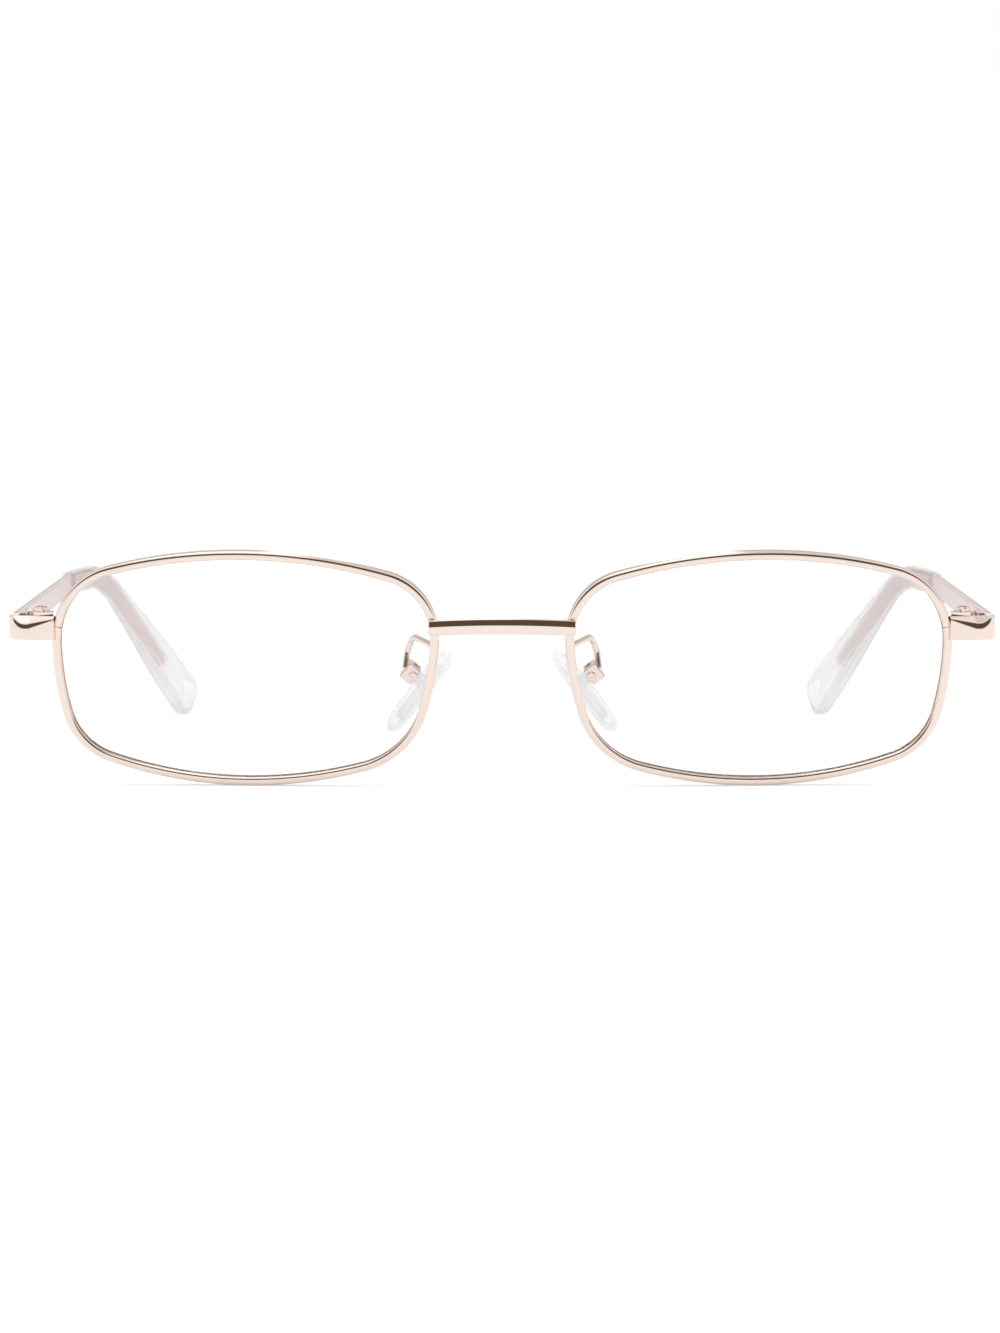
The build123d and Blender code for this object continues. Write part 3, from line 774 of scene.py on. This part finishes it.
def swept_bar(name, stations, finish, crease=40.0, steps=8, facet=None, groove=False):
    """Piece swept through its stations by the Swept bar tree"""
    mesh = bpy.data.meshes.new(name + "_line")
    edges = [(i, i + 1) for i in range(len(stations) - 1)]
    mesh.from_pydata([row["centre"] for row in stations], edges, [])
    for title in (*STATION_VECTORS, *STATION_NUMBERS):
        write_attribute(mesh, title, [row[title] for row in stations])
    profile = profile_object(name + "_profile", rounded_profile(steps, facet, groove))
    values = {"Profile": profile, "Crease angle": radians(crease), "Material": materials[finish]}
    piece = evaluated(name, mesh, "Swept bar", values)
    bpy.data.objects.remove(profile)
    return piece


def mirrored(stations, side):
    """Stations of the right half, or their mirror image"""
    if SIDES[side] > 0:
        return stations
    flips = ("centre", "across", "up")
    return [{**row, **{title: row[title] * MIRROR for title in flips}} for row in stations]


def settle(piece, body, slot, *nodes):
    """Puts a finished piece on its body, in place of its nodes. Its slot is not used"""
    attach(piece, body)
    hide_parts(*nodes)


def sweep_pair(node, ending, body, stations, finish, **section):
    """Sweeps a piece for each side, and puts it on its body in place of its node"""
    for side in SIDES:
        name = node.format(side)
        piece = swept_bar(f"{name}_{ending}", mirrored(stations, side), finish, **section)
        settle(piece, body.format(side), finish, name)


def round_off(stations, radius, steps=6, least_rounding=0.02 * MM):
    """Stations with both ends drawn in over a radius, like filleted end faces"""

    def end(first, second):
        outward = (first["centre"] - second["centre"]).normalized()
        rows = []
        for turn in spread(0, pi / 2, steps + 1):
            shrink = radius * (1 - cos(turn))
            row = dict(first)
            row["centre"] = first["centre"] - outward * (radius * (1 - sin(turn)))
            row["half"] = first["half"] - Vector((shrink, shrink, 0))
            row["rounding"] = max(first["rounding"] - shrink, least_rounding)
            rows.append(row)
        return rows

    def is_inside(row):
        ends = (stations[0], stations[-1])
        return all((row["centre"] - last["centre"]).length > radius for last in ends)

    middle = [row for row in stations if is_inside(row)]
    return end(stations[0], stations[1])[::-1] + middle + end(stations[-1], stations[-2])


# The lens outline: a long bow on each side, joined by a rounder arc at each corner
BOW_RADII = {"top": 67.7 * MM, "bottom": 65.6 * MM, "nose": 44.2 * MM, "temple": 41.2 * MM}
BOW_RISES = {"nose": 6.5 * MM, "temple": 3.4 * MM}
CORNER_RADII = {
    ("temple", "top"): 10.3 * MM,
    ("top", "nose"): 8.8 * MM,
    ("nose", "bottom"): 11.3 * MM,
    ("bottom", "temple"): 8.7 * MM,
}


def circles_meet(first, first_radius, second, second_radius, near):
    """The meeting point of two circles that is nearest to a point"""
    apart = second - first
    distance = apart.length
    along = (first_radius**2 - second_radius**2 + distance**2) / (2 * distance)
    off = sqrt(first_radius**2 - along**2)
    unit = apart / distance
    base = first + unit * along
    normal = Vector((-unit.y, unit.x))
    return min((base + normal * off, base - normal * off), key=lambda p: (p - near).length)


def lens_outline(front, step):
    """Places and outward directions round the lens, from above the split to below it"""
    width, height = front.lens_width / 2, front.lens_height / 2
    centres = {
        "top": Vector((0, height - BOW_RADII["top"])),
        "bottom": Vector((0, BOW_RADII["bottom"] - height)),
        "nose": Vector((BOW_RADII["nose"] - width, BOW_RISES["nose"])),
        "temple": Vector((width - BOW_RADII["temple"], BOW_RISES["temple"])),
    }
    boxed = {"top": (0, height), "bottom": (0, -height), "nose": (-width, 0), "temple": (width, 0)}
    corners = []
    for bows, radius in CORNER_RADII.items():
        near = Vector(boxed[bows[0]]) + Vector(boxed[bows[1]])
        circles = [(centres[bow], BOW_RADII[bow] - radius) for bow in bows]
        centre = circles_meet(*circles[0], *circles[1], near)
        starts = [(centre - centres[bow]).normalized() for bow in bows]
        corners.append((centre, radius, *starts, bows[1]))
    loop = []
    last_end, bow = corners[-1][3:]
    for centre, radius, start, end, next_bow in corners:
        loop += arc_points(centres[bow], BOW_RADII[bow], last_end, start, step)
        loop += arc_points(centre, radius, start, end, step)
        last_end, bow = end, next_bow
    return opened(loop, front.split_rise, front.split_gap / 2)


def arc_points(centre, radius, start, end, step, fewest=2):
    """Places and outward directions along an arc, without its last point"""
    first = atan2(start.y, start.x)
    turn = (atan2(end.y, end.x) - first) % (2 * pi)
    count = max(fewest, int(radius * turn / step))
    rows = []
    for index in range(count):
        part = first + turn * index / count
        outward = Vector((cos(part), sin(part)))
        rows.append((centre + outward * radius, outward))
    return rows


def opened(loop, rise, half_gap):
    """The closed loop, cut open at a height on its outer side"""

    def first_above(height):
        """Index of the first row over a height, on the outer side"""
        return next(
            i
            for i, (place, outward) in enumerate(loop)
            if place.x > 0 and loop[i - 1][0].y <= height < place.y
        )

    above, below = rise + half_gap, rise - half_gap
    first, last = first_above(above), first_above(below)
    count = len(loop)
    rows = [crossing(loop[first - 1], loop[first], above)]
    rows += [loop[(first + i) % count] for i in range((last - 1 - first) % count + 1)]
    return rows + [crossing(loop[last - 1], loop[last], below)]


def crossing(first, second, height):
    """The row between two rows where the loop crosses a height"""
    share = (height - first[0].y) / (second[0].y - first[0].y)
    return first[0].lerp(second[0], share), first[1].lerp(second[1], share).normalized()


class GLASSES_OT_rims(bpy.types.Operator):
    """Makes the two grooved rims, bent to the base curve and split behind the endpieces"""

    bl_idname = "glasses.rims"
    bl_label = "Rims"
    outline_step = 0.35 * MM

    def execute(self, context):
        front = context.scene.glasses_front
        layout = current_layout(context)
        turn = layout.lens.to_3x3()
        inner, outer = -front.groove_depth, front.rim_wall
        size = (outer - inner, front.rim_depth)
        cut = (front.groove_depth, front.groove_width / 2)
        forward = turn @ Vector((0, 0, 1))
        stations = []
        for place, outward in lens_outline(front, self.outline_step):
            middle = place + outward * (outer + inner) / 2
            depth = sqrt(front.base_curve_radius**2 - middle.length_squared)
            slope = -middle.dot(outward) / depth
            centre = layout.lens @ Vector((middle.x, middle.y, depth - front.base_curve_radius))
            across = turn @ Vector((outward.x, outward.y, slope))
            stations.append(station(centre, across, forward, size, front.rim_round, cut))
        sweep_pair("rim_{}", "swept", "front", stations, "rim_gold", groove=True)
        return {"FINISHED"}


class GLASSES_OT_bridge(bpy.types.Operator):
    """Makes the bowed bridge with the facet along its upper front edge"""

    bl_idname = "glasses.bridge"
    bl_label = "Bridge"
    station_count = 65

    def execute(self, context):
        front = context.scene.glasses_front
        layout = current_layout(context)
        half = front.bridge_distance / 2 + front.bridge_lap
        turn = layout.front.to_3x3()
        rounding = front.bridge_round
        slope = atan2(front.bridge_facet_depth, front.bridge_facet_height)
        cut = facet_cut(front.bridge_facet_height, slope, rounding, rounding)
        axes = (turn @ Vector((0, 0, 1)), turn @ Vector((0, 1, 0)))
        stations = []
        for share in spread(-1, 1, self.station_count):
            fade = 1 - share**2
            reach = between(front.bridge_end_reach, front.bridge_middle_reach, fade)
            height = between(front.bridge_end_height, front.bridge_middle_height, fade)
            rise = front.bridge_rise - front.bridge_arch * (1 - fade)
            centre = layout.front @ Vector((share * half, rise, reach - front.bridge_depth / 2))
            size = (front.bridge_depth, height)
            stations.append(station(centre, *axes, size, rounding, cut, rounding))
        stations = round_off(stations, rounding)
        bridge = swept_bar("bridge_bar", stations, "rim_gold", facet=slope)
        settle(bridge, "front", "rim_gold", "bridge")
        return {"FINISHED"}


class GLASSES_OT_endpieces(bpy.types.Operator):
    """Makes the faceted endpieces that turn back from the rims to the hinges"""

    bl_idname = "glasses.endpieces"
    bl_label = "Endpieces"
    station_count = 110
    path_step = 0.08 * MM
    profile_steps = 10
    rise_share = 0.85
    fall_share = 0.75

    def execute(self, context):
        sizes = context.scene.glasses_endpiece
        temple = context.scene.glasses_temple
        layout = current_layout(context)
        line = temple.temple_line
        inner_end = -temple.hinge_outset - sizes.lap
        start = Vector((inner_end, sizes.thickness / 2 - sizes.reach, 0))
        corner = Vector((line, start.y + (line - inner_end) * tan(sizes.sweep), 0))
        end = Vector((line, -temple.butt_gap / 2, 0))
        route = Route([start, corner, end], [sizes.bend], self.path_step)
        turn = layout.side.to_3x3()
        bend_start = (corner - start).length - sizes.bend * tan(pi / 4 - sizes.sweep / 2)
        bend_length = sizes.bend * (pi / 2 - sizes.sweep)
        stations = []
        for distance in spread(0, route.length, self.station_count):
            centre, along = route.at(distance)
            rise = min(distance / (self.rise_share * bend_start), 1)
            bent = min(max((distance - bend_start) / bend_length, 0), 1)
            axes = (turn @ Vector((along.y, -along.x, 0)), turn @ Vector((0, 0, 1)))
            size = (between(sizes.thickness, temple.temple_thickness, bent), sizes.height)
            cut, blend = self.facet(sizes, rise, bent)
            centre = layout.side @ centre
            stations.append(station(centre, *axes, size, sizes.rounding, cut, blend))
        section = {"steps": self.profile_steps, "facet": sizes.facet_slope}
        sweep_pair("endpiece_{}", "bar", "front", stations, "rim_gold", **section)
        return {"FINISHED"}

    def facet(self, sizes, rise, bent):
        """Cut and blend of the facet, which grows away from the rim and fades round the bend"""
        fall = 0.5 + 0.5 * cos(pi * min(bent / self.fall_share, 1))
        drop = between(sizes.facet_start_drop, sizes.facet_drop, rise) * fall
        blend = sizes.rounding + (sizes.facet_blend - sizes.rounding) * rise * fall
        drop = max(drop, sizes.rounding - blend * tan(sizes.facet_slope / 2))
        return facet_cut(drop, sizes.facet_slope, sizes.rounding, blend), blend


class GLASSES_OT_temples(bpy.types.Operator):
    """Makes the metal temples with their cores, and the clear tips over the cores"""

    bl_idname = "glasses.temples"
    bl_label = "Temples and tips"
    path_step = 0.25 * MM
    plate_count = 60
    core_count = 90
    tip_count = 110
    end_count = 22
    mouth_step = 0.02 * MM
    core_round_share = 0.4
    tip_round_share = 0.42
    tip_crease = 60.0
    neck_share = 0.35
    flare_share = 0.9
    end_turn = pi / 2 * 0.985

    def execute(self, context):
        sizes = context.scene.glasses_temple
        layout = current_layout(context)
        radii = (sizes.tuck_bend_radius, sizes.drop_bend_radius)
        route = Route(layout.temple_points, radii, self.path_step)
        level = layout.side.to_3x3() @ Vector((0, 0, 1))
        plate = self.plate(sizes, route, level)
        tip = self.tip(sizes, route, level)
        body = "temple_{}"
        sweep_pair("temple_{}", "bar", body, plate, "temple_rose")
        sweep_pair("temple_tip_{}", "sleeve", body, tip, "tip_clear", crease=self.tip_crease)
        return {"FINISHED"}

    def plate(self, sizes, route, level):
        """Stations of the metal temple: its plate, the step at the tip's mouth and its core"""
        rows = []
        for distance in spread(0, sizes.plate_length, self.plate_count):
            share = distance / sizes.plate_length
            height = between(sizes.temple_height, sizes.temple_mouth_height, share)
            section = (sizes.temple_thickness, height, sizes.temple_edge_round)
            rows.append(route_station(route, level, distance, *section))
        core_end = route.length - sizes.core_end_margin
        core_round = self.core_round_share * sizes.core_thickness
        for distance in spread(sizes.plate_length + self.mouth_step, core_end, self.core_count):
            share = (distance - sizes.plate_length) / (core_end - sizes.plate_length)
            height = between(sizes.core_height, sizes.core_end_height, share)
            section = (sizes.core_thickness, height, core_round)
            rows.append(route_station(route, level, distance, *section))
        return rows

    def tip(self, sizes, route, level):
        """Stations of the clear tip, from its mouth to its round end"""
        tip_length = route.length - sizes.plate_length
        end_share = sizes.tip_paddle_height / 2 / tip_length
        shares = [(share, 1.0) for share in spread(0, 1 - end_share, self.tip_count)]
        for turn in spread(0, self.end_turn, self.end_count)[1:]:
            shares.append((1 - end_share * (1 - sin(turn)), cos(turn)))
        widths = (sizes.tip_mouth_width, sizes.tip_neck_width, sizes.tip_paddle_width)
        heights = (sizes.tip_mouth_height, sizes.tip_neck_height, sizes.tip_paddle_height)
        rows = []
        for share, shrink in shares:
            width, height = (self.tip_size(share, *s) * shrink for s in (widths, heights))
            distance = sizes.plate_length + share * tip_length
            section = (width, height, self.tip_round_share * width)
            rows.append(route_station(route, level, distance, *section))
        return rows

    def tip_size(self, share, mouth, neck, paddle):
        """Width or height of the tip at a share of its length"""
        if share < self.neck_share:
            return between(mouth, neck, sin(pi / 2 * share / self.neck_share))
        flare = min((share - self.neck_share) / (self.flare_share - self.neck_share), 1)
        return between(neck, paddle, sin(pi / 2 * flare) ** 2)


class GLASSES_OT_pads(bpy.types.Operator):
    """Makes the soft nose pads and the looped wires that carry them"""

    bl_idname = "glasses.pads"
    bl_label = "Nose pads and arms"
    arm_top_step = Vector((0, 5.3 * MM, -0.5 * MM))
    arm_turn_step = Vector((0.8 * MM, 3.0 * MM, -0.9 * MM))
    arm_bend_radii = (1.6 * MM, 1.2 * MM)
    arm_seat_depth = 0.1 * MM
    arm_path_step = 0.1 * MM
    arm_count = 70
    arm_round_share = 0.995
    arm_roll_line = Vector((0, 1, 0.1))
    ring_count = 14
    around_count = 72
    outline_power = 0.72
    foot_taper = 0.08
    crown_power = 7

    def execute(self, context):
        sizes = context.scene.glasses_pad
        layout = current_layout(context)
        arm = self.arm_stations(sizes, context.scene.glasses_front, layout)
        sweep_pair("pad_arm_{}", "wire", "front", arm, "rim_gold")
        for side in SIDES:
            pad = self.pad(sizes, layout, side)
            settle(pad, f"pad_{side}", "pad_clear", f"nose_pad_{side}")
        return {"FINISHED"}

    def arm_stations(self, sizes, front, layout):
        """Stations of the wire from the back of the rim, round its loop, to the pad box"""
        half = front.lens_width / 2
        setback = half**2 / (2 * front.base_curve_radius) - half * sin(front.wrap)
        seat = setback + (front.rim_depth + front.groove_width) / 4
        start = Vector((layout.lens_centre - half, sizes.arm_start_rise, -seat))
        steps = (self.arm_top_step, self.arm_turn_step)
        points = (start, *(layout.pad_place + step for step in steps))
        corners = [layout.front @ point for point in points]
        corners.append(layout.pad @ Vector((sizes.box_back - self.arm_seat_depth, 0, 0)))
        route = Route(corners, self.arm_bend_radii, self.arm_path_step)
        radius = sizes.arm_radius
        section = (2 * radius, 2 * radius, self.arm_round_share * radius)
        distances = spread(0, route.length, self.arm_count)
        return [route_station(route, self.arm_roll_line, d, *section) for d in distances]

    def pad(self, sizes, layout, side):
        """Soft pad: a rounded lens shape, crowned on the side that meets the nose"""
        shares = [sin(pi / 2 * (i + 1) / self.ring_count) for i in range(self.ring_count)]
        rings = [(share, -1) for share in shares] + [(share, 1) for share in shares[-2::-1]]
        turns = [2 * pi * step / self.around_count for step in range(self.around_count)]
        work = bmesh.new()
        loops = [
            [work.verts.new(self.pad_point(sizes, share, turn, face)) for turn in turns]
            for share, face in rings
        ]
        for first, second in zip(loops, loops[1:]):
            for step in range(self.around_count):
                after = (step + 1) % self.around_count
                work.faces.new((first[step], first[after], second[after], second[step]))
        work.faces.new(loops[0])
        work.faces.new(loops[-1])
        for face in work.faces:
            face.smooth = True
        mesh = bpy.data.meshes.new(f"nose_pad_{side}_soft")
        work.to_mesh(mesh)
        work.free()
        mesh.transform(layout.pad)
        if SIDES[side] < 0:
            mesh.transform(Matrix.Diagonal((*MIRROR, 1)))
        mesh.materials.append(materials["pad_clear"])
        return finished(f"nose_pad_{side}_soft", mesh)

    def pad_point(self, sizes, share, turn, face):
        """Point of the pad at a share of its outline, on its nose side (-1) or its back (1)"""
        power = self.outline_power
        across = abs(cos(turn)) ** power * (1 if cos(turn) > 0 else -1)
        along = abs(sin(turn)) ** power * (1 if sin(turn) > 0 else -1)
        taper = 1 - self.foot_taper * along
        crown = max(0.0, 1 - share**self.crown_power) ** 0.5
        centre = Vector((-sizes.pad_offset, 0, -sizes.pad_slide))
        return centre + Vector(
            (
                face * sizes.pad_thickness / 2 * crown,
                across * share * sizes.pad_width / 2 * taper,
                along * share * sizes.pad_length / 2,
            )
        )


# Shank radius and length, head radius and height, and for all the slot's width and depth, in mm
SCREW_SIZES = {
    "hinge_screw": (0.5, 3.3, 0.92, 0.45),
    "rim_lock_screw": (0.45, 3.62, 0.85, 0.6),
    "pad_screw": (0.35, 3.0, 0.68, 0.3),
}
SLOT_SIZE = (0.22, 0.2)


class GLASSES_OT_screws(bpy.types.Operator):
    """Makes the slotted screws of the hinges, the rim locks and the pad boxes"""

    bl_idname = "glasses.screws"
    bl_label = "Screws"
    lock_outset = 1.375 * MM
    lock_setback = 6.0 * MM

    def execute(self, context):
        front = context.scene.glasses_front
        layout = current_layout(context)
        side, face, pad = (m.to_3x3() for m in (layout.side, layout.front, layout.pad))
        lock_across = layout.rim_edge + self.lock_outset
        lock = layout.front @ Vector((lock_across, front.split_rise, -self.lock_setback))
        places = {
            "hinge_screw": (layout.side.translation, side.col[2], side.col[0]),
            "rim_lock_screw": (lock, face.col[1], face.col[0]),
            "pad_screw": (layout.pad.translation, -pad.col[1], pad.col[0]),
        }
        flips = (Vector((1, 1, 1)), MIRROR)
        for name, sizes in SCREW_SIZES.items():
            place, *axes = places[name]
            mesh = bpy.data.meshes.new(name + "_points")
            mesh.from_pydata([place * flip for flip in flips], [], [])
            for title, axis in zip(SCREW_AXES, axes):
                write_attribute(mesh, title, [Vector(axis) * flip for flip in flips])
            lengths = (size * MM for size in (*sizes, *SLOT_SIZE))
            values = dict(zip(SCREW_INPUTS, lengths), Material=materials["screw_gold"])
            screws = evaluated(f"{name}s", mesh, "Slotted screws", values)
            settle(screws, "front", "screw_gold", f"{name}_right", f"{name}_left")
        return {"FINISHED"}


CARRIED_OVER = {
    "lens": "lens_clear",
    "rim_lock_upper": "rim_gold",
    "rim_lock_lower": "rim_gold",
    "hinge_front": "screw_gold",
    "hinge_rear": "temple_rose",
    "pad_box": "screw_gold",
    "pad_core": "core_clear",
}


class GLASSES_OT_carried_over(bpy.types.Operator):
    """Gives the pieces that keep their CAD shape their finishes"""

    bl_idname = "glasses.carried_over"
    bl_label = "Small fittings and lenses"

    def execute(self, context):
        for name, finish in CARRIED_OVER.items():
            for side in SIDES:
                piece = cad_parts[f"{name}_{side}"]
                for slot in piece.material_slots:
                    slot.link = "OBJECT"
                    slot.material = materials[finish]
        return {"FINISHED"}


class GLASSES_OT_stage(bpy.types.Operator):
    """Makes the table, the soft light, the surroundings and the camera"""

    bl_idname = "glasses.stage"
    bl_label = "Stage"
    floor_glow = 0.34
    reflected_glow_loss = 0.08
    film_width = 36
    clip_start = 0.01
    # The dark band on the viewer's side, by parts of the reflected direction
    band_colour = (0.10, 0.07, 0.05, 1)
    band_facing = (0.15, 0.45)
    band_foot = (0.0, 0.2)
    band_edge = (0.0, 0.06)
    band_top = 0.74
    band_top_gain = 0.1
    right_side = (0.0, 0.12)
    # The dimmer area behind the glasses, but for the bright part that the bridge reflects
    behind_facing = (0.1, 0.5)
    behind_foot = (0.05, 0.3)
    behind_edge = (0.0, 0.2)
    behind_top = 0.85
    behind_share = 0.45
    middle_reach = 0.06
    middle_edge = (0.0, 0.02)
    middle_gain = 0.3
    # The ceiling, brighter on the left than on the right
    zenith = (0.82, 0.92)
    zenith_gain = 0.4
    zenith_loss = 0.65
    fill_strength = 0.95

    def execute(self, context):
        scene = context.scene
        sizes = scene.glasses_stage
        scene.view_settings.view_transform = "Standard"
        self.floor(scene.glasses_finish, sizes)
        self.light(sizes)
        self.world(scene)
        self.camera(scene, sizes)
        return {"FINISHED"}

    def floor(self, finishes, sizes):
        """White table that keeps the object's shadow"""
        material, graph = new_material("table_white")
        white = graph.add("ShaderNodeBsdfDiffuse", {"Color": rgba(finishes.floor_white)})
        strength = self.floor_glow - graph.ray("Glossy") * self.reflected_glow_loss
        glow = graph.add("ShaderNodeEmission", {"Color": WHITE, "Strength": strength})
        both = graph.add("ShaderNodeAddShader", {0: white, 1: glow})
        graph.finish(graph.mix_shaders(graph.seen_directly(), white, both))
        mesh = bpy.data.meshes.new("table")
        reach = sizes.floor_reach
        corners = [(-reach, -reach, 0), (reach, -reach, 0), (reach, reach, 0), (-reach, reach, 0)]
        mesh.from_pydata(corners, [], [(0, 1, 2, 3)])
        mesh.materials.append(material)
        linked("table", mesh)

    def light(self, sizes):
        """One large soft light above the glasses"""
        lamp = bpy.data.lights.new("softbox", "AREA")
        lamp.shape = "SQUARE"
        lamp.size = sizes.softbox_side
        lamp.energy = sizes.softbox_power
        softbox = linked("softbox", lamp)
        softbox.location = (0, sizes.softbox_setback, sizes.softbox_height)
        softbox.visible_glossy = False
        softbox.visible_transmission = False

    def world(self, scene):
        """White surroundings that look otherwise in reflections alone"""
        world = bpy.data.worlds.new("studio")
        world.use_nodes = True
        world.node_tree.nodes.clear()
        scene.world = world
        graph = Graph(world.node_tree)
        backgrounds = (self.reflections(graph), (WHITE, 1.0), (WHITE, self.fill_strength))
        reflected, white, fill = (
            graph.add("ShaderNodeBackground", {"Color": shade, "Strength": strength})
            for shade, strength in backgrounds
        )
        shown = graph.mix_shaders(graph.seen_directly(), fill, white)
        mixed = graph.mix_shaders(graph.ray("Glossy"), shown, reflected)
        graph.finish(mixed, "ShaderNodeOutputWorld")

    def reflections(self, graph):
        """Colour and strength of the reflected surroundings: a dark band on the viewer's side,
        a dimmer area behind and an uneven ceiling"""
        direction = graph.add("ShaderNodeTexCoord", output="Generated")
        across, along, up = graph.split(direction)
        rightness = graph.ramp(across, *self.right_side)
        facing = graph.ramp(0 - along, *self.band_facing) * graph.ramp(up, *self.band_foot)
        band_top = self.band_top + rightness * self.band_top_gain
        facing = facing * graph.ramp(band_top - up, *self.band_edge)
        behind = graph.ramp(along, *self.behind_facing) * graph.ramp(up, *self.behind_foot)
        off_middle = graph.maths("ABSOLUTE", across)
        middle = graph.ramp(self.middle_reach - off_middle, *self.middle_edge)
        dimmed = behind * graph.ramp(self.behind_top - up, *self.behind_edge)
        dimmed = dimmed * (self.behind_share - middle * self.behind_share)
        tone = graph.mix(facing + dimmed, WHITE, self.band_colour)
        ceiling = graph.ramp(up, *self.zenith) * (self.zenith_gain - rightness * self.zenith_loss)
        return tone, 1.0 + ceiling + behind * middle * self.middle_gain

    def camera(self, scene, sizes):
        """Camera at the photograph's viewing angle"""
        data = bpy.data.cameras.new("camera")
        data.lens = sizes.focal_length
        data.sensor_width = self.film_width
        data.clip_start = self.clip_start
        camera = linked("camera", data)
        camera.location = sizes.camera_place
        camera.rotation_euler = (pi / 2 - sizes.camera_tilt, 0, 0)
        scene.camera = camera


class GLASSES_PT_panel(bpy.types.Panel):
    """Lists the makers of the eyeglasses"""

    bl_idname = "GLASSES_PT_panel"
    bl_label = "Eyeglasses"
    bl_space_type = "VIEW_3D"
    bl_region_type = "UI"
    bl_category = "Eyeglasses"

    def draw(self, context):
        for maker in OPERATORS:
            self.layout.operator(maker.bl_idname)
        for group in GROUPS.values():
            box = self.layout.box()
            settings = getattr(context.scene, group)
            for title in settings.bl_rna.properties.keys():
                if title not in ("rna_type", "name"):
                    box.prop(settings, title)


OPERATORS = (
    GLASSES_OT_stage,
    GLASSES_OT_rims,
    GLASSES_OT_bridge,
    GLASSES_OT_endpieces,
    GLASSES_OT_temples,
    GLASSES_OT_pads,
    GLASSES_OT_screws,
    GLASSES_OT_carried_over,
)
GROUPS = {
    FrontSizes: "glasses_front",
    TempleSizes: "glasses_temple",
    EndpieceSizes: "glasses_endpiece",
    PadSizes: "glasses_pad",
    Finishes: "glasses_finish",
    StageSizes: "glasses_stage",
}


def register():
    """Registers the classes and the scene's settings"""
    for group, title in GROUPS.items():
        bpy.utils.register_class(group)
        setattr(bpy.types.Scene, title, PointerProperty(type=group))
    for item in (*OPERATORS, GLASSES_PT_panel):
        bpy.utils.register_class(item)


def unregister():
    """Removes the classes and the scene's settings"""
    for item in (GLASSES_PT_panel, *reversed(OPERATORS)):
        bpy.utils.unregister_class(item)
    for group, title in GROUPS.items():
        delattr(bpy.types.Scene, title)
        bpy.utils.unregister_class(group)


def main():
    """Makes the whole scene"""
    register()
    make_materials(bpy.context.scene.glasses_finish)
    for maker in OPERATORS:
        group, name = maker.bl_idname.split(".")
        getattr(getattr(bpy.ops, group), name)()


if __name__ == "__main__":
    main()
